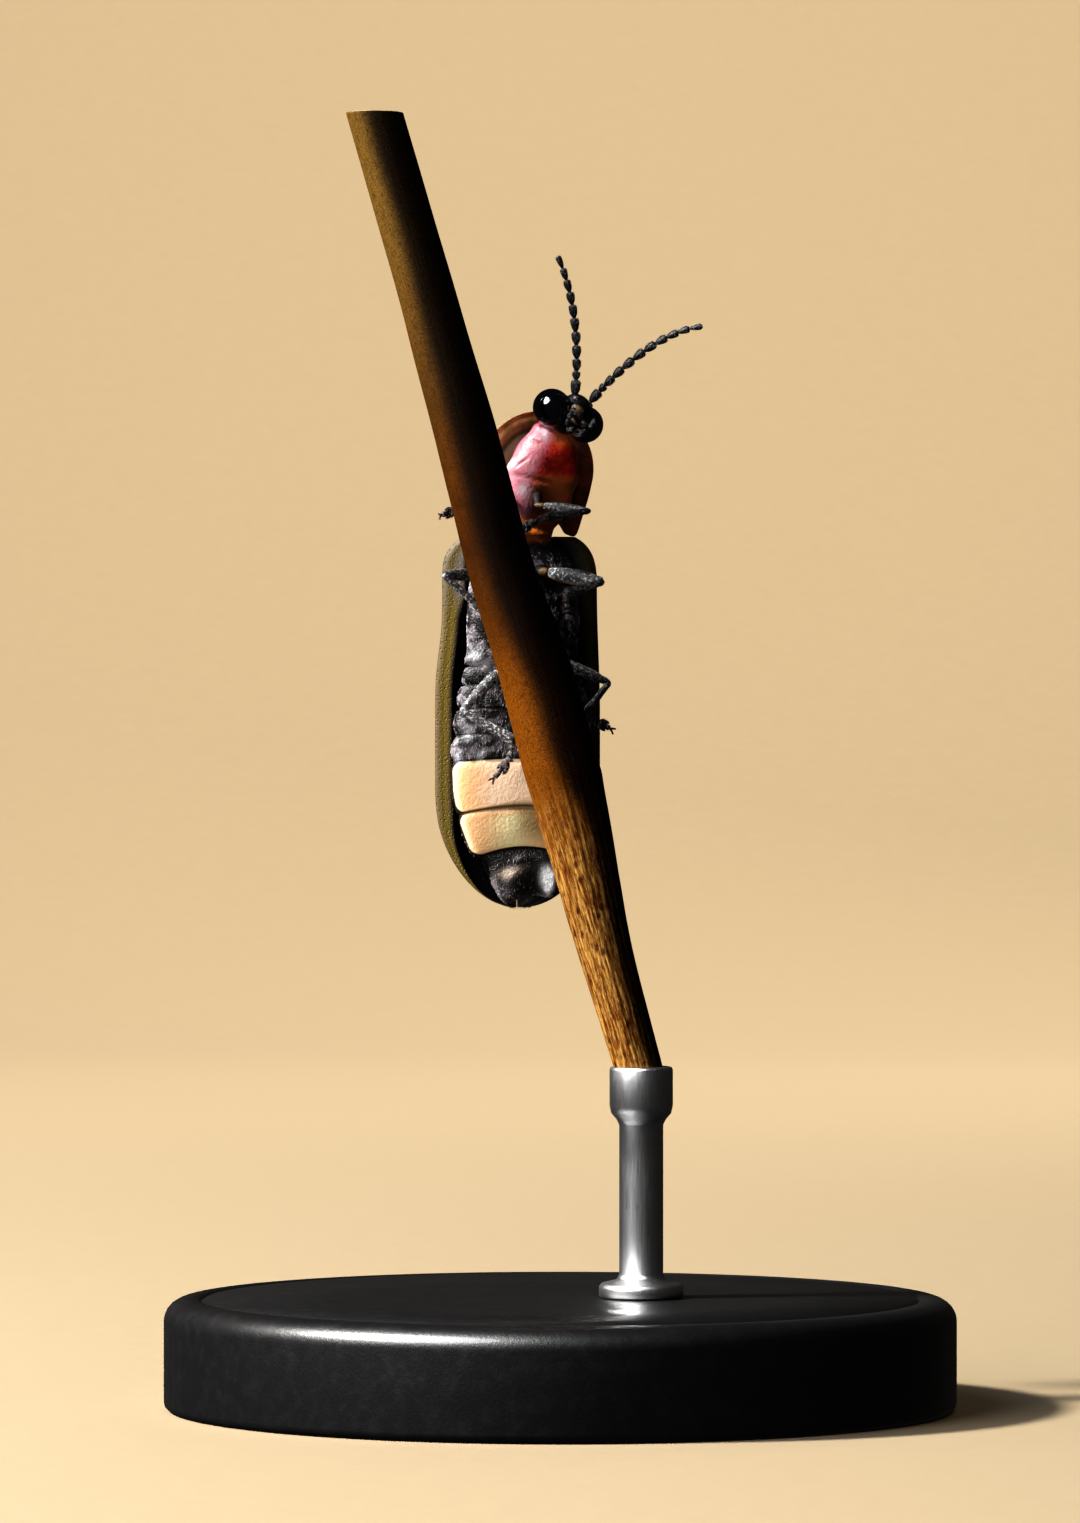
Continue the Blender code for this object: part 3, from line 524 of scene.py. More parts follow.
def limb_paint():
    """Legs, feelers and head: black cuticle with a grey bloom, pale at joints and gold at trochanters; on the
    legs the bloom also stands for painted light and shade.
    """
    paint = Paint("limb_cuticle")
    cloud = paint.noise(5.0, 3.0)
    grain = paint.noise(55.0, 4.0, 0.7)
    rows = paint.ramp(paint.cells(24.0), 0.05, 0.4)
    specks = paint.ramp(paint.noise(15.0, 2.0, 0.5), 0.52, 0.62)
    colour = paint.over(
        paint.mix(cloud, (0.004, 0.004, 0.0045), (0.017, 0.0165, 0.018)),
        (paint.ramp(grain, 0.54, 0.70) * 0.12, (0.13, 0.13, 0.145)),
        (paint.mask("gold") * (grain * 0.8 + 0.45), (0.52, 0.27, 0.075)),
        # Pale bloom: on the legs partly painted light and shade, set leg by leg
        (paint.mask("pale") * (specks * 0.88 + 0.12), (0.70, 0.72, 0.77)),
        ("claw", (0.085, 0.038, 0.022)),
    )
    relief = rows * 0.8 + grain * 0.5
    return paint.done(colour, 0.36 + grain * 0.2, paint.bump(relief, 0.014), Specular_IOR_Level=0.35)


def eye_paint():
    """The eye: glassy black with a violet cast and a fine net of facets."""
    paint = Paint("compound_eye")
    facets = paint.ramp(paint.cells(38.0, "F1", randomness=0.25), 0.0, 0.55)
    violet = paint.mix(paint.noise(3.0), (0.0022, 0.0015, 0.0040), (0.0050, 0.0035, 0.0105))
    return paint.done(violet, 0.07 + facets * 0.03, paint.bump(facets, 0.0006), IOR=1.95)


def hair_paint(name, dark, light, roughness):
    """Fine hairs, each a little lighter or darker than its neighbours."""
    paint = Paint(name)
    own = {"W": paint.mask("tint") * 97.0}
    shade = paint.node("ShaderNodeTexWhiteNoise", {"noise_dimensions": "1D"}, own)
    colour = paint.mix(shade * 0.8 + paint.noise(20.0) * 0.3, dark, light)
    strand = paint.noise(1.0, 2.0, place=paint.stretched(60.0, 60.0, 15.0))
    return paint.done(colour, roughness + strand * 0.1, paint.bump(strand, 0.004))


def stem_paint():
    """The dry stem: smooth tan-brown above, pale gold fibres with dark red-brown flecks below, and painted
    shade down its +X side.
    """
    paint = Paint("grass_stem")
    height = paint.axis("Z")
    upright = {"Vector": paint.place, "Angle": math.radians(STEM_LEAN)}
    lean = paint.node("ShaderNodeVectorRotate", {"rotation_type": "Y_AXIS"}, upright)
    fibres = paint.noise(1.0, 4.0, 0.6, place=paint.stretched(15.0, 15.0, 1.5, lean))
    threads = paint.noise(1.0, 3.0, 0.7, place=paint.stretched(34.0, 34.0, 4.5, lean))
    cloud = paint.noise(0.7, 4.0, 0.6)
    grain = paint.noise(26.0, 4.0, 0.7)
    mottle = paint.noise(7.5, 6.0, 0.75)
    flecks = paint.ramp(paint.cells(1.0, place=paint.stretched(4.2, 4.2, 2.2)), 0.30, 0.12)
    low = paint.ramp(height + cloud * 1.6, 15.2, 12.6)
    upper = paint.over(
        paint.mix(paint.ramp(cloud, 0.3, 0.7), (0.050, 0.016, 0.0012), (0.098, 0.036, 0.0035)),
        (paint.ramp(height, 18.6, 15.8), (0.22, 0.078, 0.005)),
        (paint.ramp(height, 20.0, 28.0), (0.165, 0.100, 0.024)),
        (paint.ramp(grain, 0.32, 0.68) * 0.65, (0.024, 0.007, 0.001)),
    )
    straw = paint.over(
        paint.mix(paint.ramp(fibres, 0.38, 0.62), (0.17, 0.058, 0.007), (0.50, 0.29, 0.085)),
        (paint.ramp(threads, 0.48, 0.66) * 0.80, (0.06, 0.017, 0.004)),
        (paint.ramp(threads, 0.40, 0.30) * 0.70, (0.74, 0.52, 0.25)),
    )
    blotch = flecks * paint.ramp(grain, 0.30, 0.5) * (low * 0.75 + 0.18)
    colour = paint.over(
        paint.mix(low, upper, straw),
        (paint.ramp(mottle, 0.50, 0.68) * 0.55, (0.030, 0.010, 0.003)),
        (blotch, (0.050, 0.012, 0.006)),
        # Painted shade: the stem's +X side is painted near black, as if in shadow
        (paint.mask("weathered") * (grain * 0.4 + 0.70), (0.0045, 0.0020, 0.0008)),
    )
    relief = fibres * (low * 0.9 + 0.15) + threads * (low * 0.7 + 0.2) + grain * 0.25
    return paint.done(colour, 0.58 + grain * 0.14, paint.bump(relief, 0.030), Specular_IOR_Level=0.04)


def pith_paint():
    """The cut ends of the stem: pale pith in a darker rind, with the pores of its strands."""
    paint = Paint("stem_cut")
    pores = paint.ramp(paint.cells(9.0), 0.10, 0.22)
    grain = paint.noise(30.0, 4.0)
    pith = paint.mix(grain, (0.52, 0.37, 0.19), (0.70, 0.55, 0.32))
    colour = paint.mix(pores, (0.16, 0.075, 0.028), pith)
    return paint.done(colour, 0.75 + grain * 0.1, paint.bump(pores + grain * 0.4, 0.03))


def base_paint():
    """The base: satin black acrylic with a fine grain and faint wear in soft patches."""
    paint = Paint("black_acrylic")
    grain = paint.noise(11.0, 4.0, 0.7)
    wear = paint.ramp(paint.noise(2.6, 5.0, 0.65), 0.40, 0.80)
    colour = paint.mix(wear * 0.5, (0.010, 0.010, 0.011), (0.018, 0.018, 0.019))
    return paint.done(colour, 0.33 + wear * 0.05 + grain * 0.05, paint.bump(grain, 0.006), Coat_Weight=0.15)


def rod_paint():
    """The rod: brushed steel, drawn along its length."""
    paint = Paint("brushed_steel")
    drawn = paint.noise(1.0, 4.0, 0.7, place=paint.stretched(42.0, 42.0, 1.6))
    colour = paint.mix(drawn, (0.46, 0.46, 0.47), (0.68, 0.68, 0.69))
    return paint.done(colour, 0.20 + drawn * 0.22, paint.bump(drawn, 0.008), Metallic=1.0)


def floor_paint():
    """The plain pale floor and backdrop."""
    paint = Paint("pale_paper")
    grain = paint.noise(0.9, 3.0)
    colour = paint.mix(grain, (0.38, 0.30, 0.19), (0.40, 0.315, 0.20))
    return paint.done(colour, 0.85 + grain * 0.05, paint.bump(grain, 0.02))


# Body skin along s, which is the body frame's z: the edges of the belly's plates from front to rear
PLATE_EDGES = (-1.50, -1.90, -2.45, -3.03, -3.62, -4.73, -5.68)
FIRST_ORGAN, SECOND_ORGAN = 4, 5  # the numbers of the plates that glow
TAIL_END = -6.56
TAIL_ASIDE = 0.16
PROTHORAX_START = 1.64
HEAD_START = 4.75
NECK_END = 4.62
ROW_STEP, EDGE_STEP = 0.045, 0.012
SKIN_STEPS = 144

# Half width, belly and back at places along s, each table in its own frame
TRUNK = (
    (-6.56, 0.70, -0.66, -0.50), (-6.46, 0.78, -0.72, -0.40), (-6.25, 0.87, -0.76, -0.26),
    (-5.90, 0.93, -0.78, -0.16), (-5.72, 1.02, -0.78, -0.06), (-5.58, 1.17, -0.81, 0.02),
    (-5.20, 1.34, -0.84, 0.06), (-4.75, 1.49, -0.85, 0.09), (-4.15, 1.61, -0.85, 0.11),
    (-3.70, 1.62, -0.85, 0.12), (-3.03, 1.57, -0.85, 0.12), (-2.45, 1.50, -0.85, 0.12),
    (-1.90, 1.40, -0.85, 0.12), (-1.50, 1.30, -0.86, 0.12), (-1.20, 1.27, -0.90, 0.12),
    (-0.60, 1.29, -0.94, 0.12), (0.00, 1.27, -0.92, 0.12), (0.55, 1.18, -0.87, 0.10),
    (0.95, 1.00, -0.80, 0.06), (1.22, 0.72, -0.72, -0.04), (1.42, 0.56, -0.68, -0.16),
    (1.62, 0.59, -0.74, -0.14), (1.95, 0.62, -0.76, -0.10),
)
PINK = (
    (1.40, 0.50, -0.76, -0.30), (1.80, 0.53, -0.88, -0.24), (1.97, 0.60, -0.98, -0.21),
    (2.14, 0.69, -1.06, -0.19), (2.54, 0.79, -1.14, -0.19), (3.04, 0.84, -1.17, -0.20),
    (3.44, 0.76, -1.13, -0.21), (3.74, 0.63, -1.07, -0.24), (3.98, 0.48, -0.98, -0.28),
    (4.16, 0.40, -0.88, -0.34), (4.60, 0.34, -0.82, -0.40),
)
NECK = ((3.90, 0.40, -0.32, 0.28), (4.30, 0.36, -0.28, 0.26), (NECK_END, 0.20, -0.16, 0.16))

# How far the sides of a ring lie behind its middle, along s
ARCH = ((-6.56, 0.0), (-6.3, 0.10), (-5.70, 0.24), (-4.73, 0.20), (-3.62, 0.10), (-1.5, 0.02))

# Painted highlights: pale glints on the belly's side and on the pink underside: x, z, half width, half height
GLINTS = (
    (-1.72, 16.88, 0.10, 0.12), (-2.09, 15.33, 0.12, 0.144), (-1.86, 14.82, 0.08, 0.096),
    (-2.33, 14.82, 0.09, 0.108), (-1.93, 17.05, 0.13, 0.156),
)
PINK_HIGHLIGHTS = ((-1.16, 21.50, 0.14, 0.13), (-0.36, 22.22, 0.09, 0.16), (-0.85, 20.92, 0.13, 0.16))


def skin_rows():
    """Places along the body: even, and close together at every edge of a plate."""
    rows = [np.arange(TAIL_END, NECK_END, ROW_STEP)]
    for edge in PLATE_EDGES:
        rows.append(np.arange(edge - 0.09, edge + 0.10, EDGE_STEP))
    rows.append(np.arange(TAIL_END, TAIL_END + 0.05, 0.008))
    rows = np.unique(np.round(np.concatenate(rows), 4))
    keep = np.concatenate([[True], np.diff(rows) > EDGE_STEP / 2])
    return rows[keep]


def plate_share(s):
    """Each place's share of its plate, 0 in front and 1 at the rear, the plate's length and number."""
    edges = np.array(PLATE_EDGES + (TAIL_END - 0.4,))
    which = np.clip(np.searchsorted(-edges, -s) - 1, 0, len(edges) - 2)
    length = edges[which] - edges[which + 1]
    return np.clip((edges[which] - s) / length, 0.0, 1.0), length, which


def ring_in(table, s, angle, level, below, above):
    """Points across a frame for each place along and each step round, and half the width.

    The ring is widest at its level between belly and back, and as square as below and above say.
    """
    half, low, high = np.split(ease_through(table, s), 3, axis=1)
    middle = low + (high - low) * level
    sine, cosine = np.sin(angle)[None, :], np.cos(angle)[None, :]
    square = np.where(sine > 0, above, below)
    rise = np.where(sine > 0, high - middle, middle - low)
    x = half * signed_power(cosine, 2 / square)
    y = middle + rise * signed_power(sine, 2 / square)
    return x, y, half


def trunk_relief(x, half, s, sine):
    """How far the trunk stands out, in mm: overlapping plates, side lobes, breast plates, tail ridges."""
    share, _, which = plate_share(s)
    in_belly = s < PLATE_EDGES[0] + 0.02
    dark_belly = in_belly & (which < FIRST_ORGAN)
    lap = 0.055 * (smooth(0.0, 0.16, share) - 1) - 0.060 * smooth(0.965, 1.0, share) + 0.022 * share
    lap = np.where(which >= FIRST_ORGAN, lap * 0.75 + 0.028 * np.sin(math.pi * share), lap)
    relief = np.where(in_belly, lap, 0.0)
    wide = np.abs(x)
    side = smooth(0.70, 0.96, wide / half)
    lobes = 0.085 * np.sin(math.pi * np.clip(share * 1.08, 0.0, 1.0)) ** 0.7 - 0.05
    relief = relief + np.where(dark_belly & (s > PLATE_EDGES[FIRST_ORGAN]), lobes, 0.0) * side
    fold = band(0.56, 0.64, 0.66, 0.76, wide / half)
    relief = relief - 0.045 * fold * dark_belly * smooth(0.05, 0.3, share)
    under = smooth(0.1, -0.3, sine)
    breast = smooth(-1.46, -1.40, s)
    groove = -0.045 * hill(0, 0.045, x) * band(-1.40, -1.25, 0.70, 0.95, s)
    suture = -0.05 * hill(0.42, 0.035, s - 0.10 * wide) * (wide < 1.0)
    hind_hips = 0.11 * hill(-1.20, 0.17, s + 0.12 * wide) * smooth(0.06, 0.20, wide)
    middle_hips = 0.14 * hill(0.66, 0.20, s) * hill(0.38, 0.24, wide)
    side_plate = -0.04 * hill(0.86, 0.04, wide - 0.10 * s)
    relief = relief + under * breast * (groove + suture + hind_hips + middle_hips + side_plate)
    away = x - TAIL_ASIDE
    tail = smooth(-5.78, -5.90, s)
    lump = 0.05 * (hill(-0.34, 0.11, away) + hill(0.10, 0.12, away)) * hill(-5.92, 0.08, s)
    ridge = 0.07 * (hill(-0.52, 0.22, away) + hill(0.38, 0.13, away)) * smooth(-6.00, -6.22, s)
    hollow = -0.07 * hill(0.02, 0.15, away) * smooth(-6.15, -6.35, s)
    return relief + tail * under * (lump + ridge + hollow)


def body_skin(material):
    """One skin from the tail over the light organs, breast, waist and pink prothorax to the neck."""
    s = skin_rows()
    angle = circle(SKIN_STEPS) - math.pi / 2
    x, y, half = ring_in(TRUNK, s, angle, 0.40, 3.3, 1.7)
    sine = np.broadcast_to(np.sin(angle)[None, :], x.shape)
    here = np.broadcast_to(s[:, None], x.shape)
    relief = trunk_relief(x, half, here, sine) * (1 - smooth(1.1, 1.4, here))
    size = np.maximum(np.hypot(x, y + 0.4), 1e-6)
    x, y = x * (1 + relief / size), y + (y + 0.4) / size * relief
    aside = TAIL_ASIDE * smooth(-5.62, -5.92, here) + 0.12 * smooth(1.1, 1.5, here)
    arch = ease_through(ARCH, s)
    points = 0.10 + 0.32 * hill(-0.55, 0.20, x) + 0.18 * hill(0.42, 0.16, x) - 0.06 * hill(-0.02, 0.10, x)
    points = points * smooth(-6.00, -6.50, here)
    z = here - arch * (x / half) ** 2 * (here < -1.0) - points
    trunk = placed(body_frame(), np.stack([x + aside, y, z], -1))
    px, py, _ = ring_in(PINK, s, angle, 0.60, 2.2, 2.6)
    px = px + 0.05 * hill(3.7, 0.4, here)
    pink = placed(prothorax_frame(), np.stack([px, py, here - PROTHORAX_START], -1))
    nx, ny, _ = ring_in(NECK, s, angle, 0.5, 2.0, 2.0)
    neck = placed(head_frame(), np.stack([nx, ny, here - HEAD_START], -1))
    to_pink, to_neck = smooth(1.45, 1.95, here)[..., None], smooth(4.05, 4.50, here)[..., None]
    rows = (trunk * (1 - to_pink) + pink * to_pink) * (1 - to_neck) + neck * to_neck
    across, up = rows[..., 0], rows[..., 2]
    crease = hill(0, 1, (up - 22.01 + 0.35 * (across + 0.5)) / 0.045) * hill(-0.55, 0.17, across)
    grey_crease = hill(0, 1, (up - 21.56 - 0.75 * (across + 0.88)) / 0.035) * hill(-0.88, 0.11, across)
    rear_fold = hill(0, 1, (up - 21.14 + 0.22 * (across + 0.5)) / 0.06) * smooth(0.1, -0.5, sine)
    ripples = 0.022 * np.sin(here * 9.0 + 1.4 * np.sin(angle * 3.0)[None, :]) * smooth(2.0, 2.4, here)
    is_pink = band(1.92, 2.10, 4.25, 4.45, here)
    dent = (-0.055 * crease - 0.045 * grey_crease - 0.022 * rear_fold + ripples) * is_pink
    rows = rows + unit(rows - rows.mean(axis=1, keepdims=True)) * dent[..., None]
    patches = blotches(rows, 0.17, -0.75, 0.95)
    masks = skin_masks(here, x, half, sine, across, up, is_pink, crease, grey_crease, patches)
    form = Form().add(rows, masks, lie=-1)
    skin = form.made("body_skin", material)
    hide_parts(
        "thorax", "waist", "abdomen_2", "abdomen_3", "abdomen_4", "abdomen_5",
        "lantern_6", "lantern_7", "abdomen_8", "prothorax",
    )
    return skin


def skin_masks(here, x, half, sine, across, up, is_pink, crease, grey_crease, patches):
    """Where each colour of the skin lies: here and x in the body's frame, across and up in the model's."""
    share, length, which = plate_share(here)
    belly = smooth(0.16, 0.02, sine)
    first, second = which == FIRST_ORGAN, which == SECOND_ORGAN
    organ = first * smooth(0.012, 0.035, share) + second * (1 - smooth(0.965, 0.99, share))
    corner = np.minimum(share, 1 - share) * length
    border = half - np.abs(x)
    cut_corner = np.hypot(np.maximum(0.0, 0.22 - corner), np.maximum(0.0, 0.20 - border))
    round_off = smooth(0.220, 0.195, cut_corner)
    lamp = organ * belly * round_off
    top_left = first * (share < 0.5) * smooth(-0.2, -0.8, x / half)
    edge = np.where(top_left > 0, np.minimum(corner / np.maximum(top_left, 0.01), border), border)
    rim = lamp * (1 - smooth(0.02, 0.15, edge)) * smooth(0.9, -0.3, x / half)
    lime = lamp * second * hill(-0.25, 0.50, x) * smooth(0.05, 0.30, share)
    # Painted shadow: a dark line along the seam between the light organs, widening towards +x, olive-brown
    # shade over the second organ's +x part, and a band just behind its front edge at -x
    line = hill(0.0, 0.030 + 0.09 * smooth(-1.0, 0.1, x), here - PLATE_EDGES[SECOND_ORGAN])
    shade = second * smooth(-0.45, 0.15, x) * smooth(1.0, 0.4, share) * 0.85
    seam = belly * (line + shade) + 0.40 * second * patch(-0.72, 0.06, 0.24, 0.12, x, share)
    side = smooth(0.35, 0.95, np.abs(x) / half)
    abdomen = (here < PLATE_EDGES[0]) & (here > PLATE_EDGES[FIRST_ORGAN])
    silver = abdomen * (0.50 + 0.50 * side) * patches * hill(0.55, 0.55, share) * smooth(0.35, 0.0, sine)
    silver = silver + 0.80 * patches * band(-1.6, -1.4, 0.7, 1.2, here)
    tail = smooth(-5.75, -5.88, here)
    lumps = patch(-0.34, -5.92, 0.14, 0.09, x, here) + 0.7 * patch(-0.08, -6.08, 0.10, 0.10, x, here)
    lobe = hill(-0.55, 0.26, x) * smooth(-6.24, -6.34, here) * (0.25 + 0.35 * patches)
    edges = smooth(0.80, 0.95, np.abs(x) / half) * smooth(-6.10, -6.25, here)
    knob = 0.6 * hill(0.42, 0.12, x) * smooth(-6.3, -6.4, here)
    silver = silver + tail * (0.5 * lumps + lobe + 0.45 * edges + knob)
    # Painted highlights: glints on the belly's side, and a stronger one on the tail's side that faces away
    # from the light
    frost = 0.62 * sum(patch(x0, z0, wide, high, across, up) for x0, z0, wide, high in GLINTS)
    frost = frost * smooth(0.1, -0.1, sine) + 2.4 * tail * patch(0.38, -6.26, 0.12, 0.16, x, here)
    bone = tail * hill(-6.13, 0.070, here + 0.10 * np.abs(x + 0.5)) * hill(-0.50, 0.22, x)
    # Painted highlights on the pink underside's left side
    pearl = sum(patch(x0, z0, wide, high, across, up) for x0, z0, wide, high in PINK_HIGHLIGHTS)
    # Painted shade: the pink's +X side, where shadow falls, takes dark crimson
    crimson = smooth(-0.66, -0.36, across - 0.45 * (up - 21.4)) * band(20.95, 21.25, 21.90, 22.25, up)
    rust = smooth(-0.28, 0.10, across) * smooth(21.80, 22.12, up)
    rust = np.clip(rust + smooth(21.35, 21.15, up) * smooth(-0.75, -0.35, across), 0.0, 1.0)
    amber = band(1.28, 1.42, 1.95, 2.15, here) + smooth(4.25, 4.45, here) * 0.8
    fuzz = np.clip((here < 1.2) * smooth(0.25, 0.05, sine) * (1 - lamp) * (0.02 + 0.98 * silver), 0.0, 1.0)
    return {
        "silver": silver, "bone": np.clip(bone, 0, 1), "frost": np.clip(frost, 0, 1), "fuzz": fuzz,
        "lamp": lamp, "rim": rim, "lime": lime, "seam": np.clip(seam, 0, 1) * 0.85,
        "amber": amber, "pink": is_pink, "pearl": np.clip(pearl, 0, 1), "crimson": np.clip(crimson, 0, 1),
        "rust": rust, "flank": is_pink * smooth(-0.12, 0.10, sine),
        # Painted shade along the pink's creases
        "crease": np.clip(crease + 0.5 * grey_crease, 0, 1) * 0.8,
    }


# Wing cases
CASE_FRONT = 1.48
CASE_REAR = -7.08
CASE_HALF = 1.87
CASE_SHOULDER = 1.80
CASE_EDGE = -0.1
CASE_BACK = 0.82
CASE_TAPER = -4.2
SHOULDER_LENGTH = 1.25
SHOULDER_ROUND = 3.2
TIP_ROUND = 2.3
NOTCH_START = 0.86
CASE_STEPS = 60
CASE_SQUARE = 2.2
CASE_WALL = 0.10
CASE_GAP = 0.02  # between the two wing cases along the suture
CASE_TURN_IN = 0.40
CASE_SPREAD = 0.095  # how far the loose wing case stands out at its widest
COSTAE = (0.3, 0.55, 0.8)
RIM_STEPS = 14


def case_half_width(z):
    """Half the width over both wing cases."""
    front = np.clip(0.88 * (z - (CASE_FRONT - SHOULDER_LENGTH)) / SHOULDER_LENGTH, 0.0, 0.88)
    rear = np.clip((CASE_TAPER - z) / (CASE_TAPER - CASE_REAR), 0.0, 0.993)
    shoulder = CASE_SHOULDER + (CASE_HALF - CASE_SHOULDER) * smooth(0.23, -2.6, z)
    front_width = (1 - front ** SHOULDER_ROUND) ** (1 / SHOULDER_ROUND)
    return shoulder * front_width * (1 - rear ** TIP_ROUND) ** 0.5


def case_top(z):
    """How high the back of a wing case stands."""
    front = np.clip((z - 0.5) / (CASE_FRONT - 0.5), 0.0, 1.0)
    rear = np.clip((-3.5 - z) / (-3.5 - CASE_REAR), 0.0, 1.0)
    return CASE_BACK - 0.16 * front ** 2 - 0.36 * rear ** 1.8


def case_line(z, side):
    """One ring of a wing case: over the back to the side edge, in along its turned rim, back inside."""
    notch = max(0.0, (z - NOTCH_START) / (CASE_FRONT - NOTCH_START))
    inner = CASE_GAP + 0.40 * notch ** 1.1
    outer = float(case_half_width(z))
    if side < 0:
        outer += CASE_SPREAD * float(smooth(-0.4, -2.0, z) * smooth(-6.8, -5.0, z) + 0.3 * hill(1.0, 0.3, z))
    inner = min(inner, outer * 0.9)
    rise = float(case_top(z)) - CASE_EDGE
    start = math.asin(min(0.99, inner / outer) ** (CASE_SQUARE / 2))
    turn = np.linspace(start, math.pi / 2, CASE_STEPS + 1)
    x = outer * np.sin(turn) ** (2 / CASE_SQUARE)
    y = CASE_EDGE + rise * np.maximum(0.0, np.cos(turn)) ** (2 / CASE_SQUARE)
    share = x / outer
    ease = min(1.0, (CASE_FRONT - z) / 0.6) * min(1.0, (z - CASE_REAR) / 1.4)
    for costa in COSTAE:
        y += 0.035 * ease * hill(costa, 0.035, share)
    y += 0.030 * ease * hill(0.0, 0.05, share - 0.03)
    gutter = band(0.86, 0.93, 0.965, 1.0, share)
    y -= 0.035 * gutter * ease
    turn_in = CASE_TURN_IN + 0.15 * float(smooth(-0.5, 0.2, z))
    turn_in *= min(1.0, max(0.12, (z - CASE_REAR) / 2.2))
    turn_in *= min(1.0, max(0.5, outer / 1.2))
    rim = np.linspace(0.0, 1.0, RIM_STEPS + 1)[1:]
    rim_x = outer + 0.02 * np.sin(math.pi * rim) - turn_in * rim ** 1.25
    rim_y = CASE_EDGE - 0.085 * np.sin(math.pi / 2 * np.minimum(rim * 1.15, 1.0))
    rim_y += 0.010 * np.cos(rim * 2 * math.pi * 1.5) * rim * (1 - rim) * 4
    low_x, low_y = np.concatenate([x, rim_x]), np.concatenate([y, rim_y])
    along_x, along_y = np.gradient(low_x), np.gradient(low_y)
    size = np.maximum(np.hypot(along_x, along_y), 1e-9)
    in_x, in_y = low_x + along_y / size * CASE_WALL, low_y - along_x / size * CASE_WALL
    in_x = np.maximum(in_x, inner)
    turned_in = slice(-RIM_STEPS - 1, None)
    in_x[turned_in] = np.minimum(in_x[turned_in], low_x[turned_in] + 0.05)
    in_y[turned_in] = low_y[turned_in] + CASE_WALL * 0.8
    in_x, in_y = in_x[::-1], in_y[::-1]
    line = np.stack([np.concatenate([low_x, in_x]), np.concatenate([low_y, in_y])], -1)
    count = len(low_x)
    rims = np.concatenate([np.zeros(CASE_STEPS + 1), rim, np.zeros(count)])
    backs = np.concatenate([share, np.ones(RIM_STEPS), np.zeros(count)])
    inside = np.concatenate([np.zeros(count), np.ones(count)])
    points = np.stack([side * line[:, 0], line[:, 1], np.full(len(line), z)], -1)
    return points, rims, backs, inside


def wing_cases(material):
    """The two wing cases: thin domed shells with raised lines and a pale rim turned in below the side."""
    front = CASE_FRONT - SHOULDER_LENGTH * np.linspace(0.0, 1.0, 44) ** 1.7
    middle = np.linspace(CASE_FRONT - SHOULDER_LENGTH - 0.05, CASE_TAPER, 90)
    rear = CASE_TAPER + (CASE_REAR - CASE_TAPER) * (1 - (1 - np.linspace(0.0, 1.0, 80)) ** 1.7)
    stations = np.concatenate([front, middle, rear[1:]])
    for name, side in (("elytron_left", 1), ("elytron_right", -1)):
        rings = [case_line(float(z), side) for z in stations]
        rows = placed(body_frame(), np.array([ring[0] for ring in rings]))
        rim, back, inside = (np.array([ring[i] for ring in rings]) for i in (1, 2, 3))
        z = np.broadcast_to(stations[:, None], rim.shape)
        outer_back = (inside == 0) & (rim == 0)
        straw = outer_back * smooth(0.925, 0.965, back) * (1 - 0.75 * smooth(0.985, 0.999, back))
        straw = straw + outer_back * smooth(0.055, 0.02, back - 0.004) * (z < 0.9)
        straw = np.maximum(straw, hill(0.58, 0.30, rim) * (rim > 0))
        beige = (rim > 0) * hill(0.10, 0.13, rim)
        # Partly the rim's pale colour, partly a painted highlight at the shoulder
        lilac = (rim > 0) * smooth(-0.4, 0.4, z) * (0.30 + 0.55 * hill(0.75, 0.22, rim))
        lilac = lilac * (1 - 0.9 * hill(0.42, 0.09, rim))
        lining = np.maximum(inside, (rim > 0) * smooth(0.84, 1.0, rim))
        fuzz = outer_back * (1 - smooth(0.88, 0.95, back))
        masks = {"straw": straw, "beige": beige, "lilac": lilac, "lining": lining, "fuzz": fuzz}
        case = Form().add(rows, masks).made(name + "_case", material)
        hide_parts(name)
        yield case


# Shield over the head
SHIELD_LENGTH = 2.78
SHIELD_HALF = 1.33
SHIELD_WIDEST = 1.4
SHIELD_DOME = 0.42
SHIELD_CENTRE = (0.0, 1.35)
SHIELD_STEPS = 180
SHIELD_REAR = (  # half of its rear outline, from the side to the middle
    (-1.32, 1.10), (-1.30, 0.90), (-1.24, 0.45), (-1.19, 0.12), (-1.12, 0.02), (-0.92, 0.05),
    (-0.80, 0.18), (-0.60, 0.31), (-0.2, 0.25), (0.0, 0.24),
)
SCUTELLUM_HALF = 0.34


def shield_outline():
    """Points round the shield, evenly spaced: rounded in front, with drawn-out corners behind."""
    turn = np.linspace(0.0, math.pi, 120)
    reach = SHIELD_LENGTH - SHIELD_WIDEST
    front = np.stack([SHIELD_HALF * np.cos(turn), SHIELD_WIDEST + reach * np.sin(turn)], -1)
    place = lengths_along(SHIELD_REAR)
    rear = ease_through(np.column_stack([place, SHIELD_REAR]), np.linspace(0.0, place[-1], 60))
    line = np.concatenate([front, rear[1:], (rear * [-1, 1])[::-1][1:-1]])
    closed = np.concatenate([line, line[:1]])
    place = lengths_along(closed)
    even = np.linspace(0.0, place[-1], SHIELD_STEPS, endpoint=False)
    return np.stack([np.interp(even, place, closed[:, i]) for i in (0, 1)], -1)


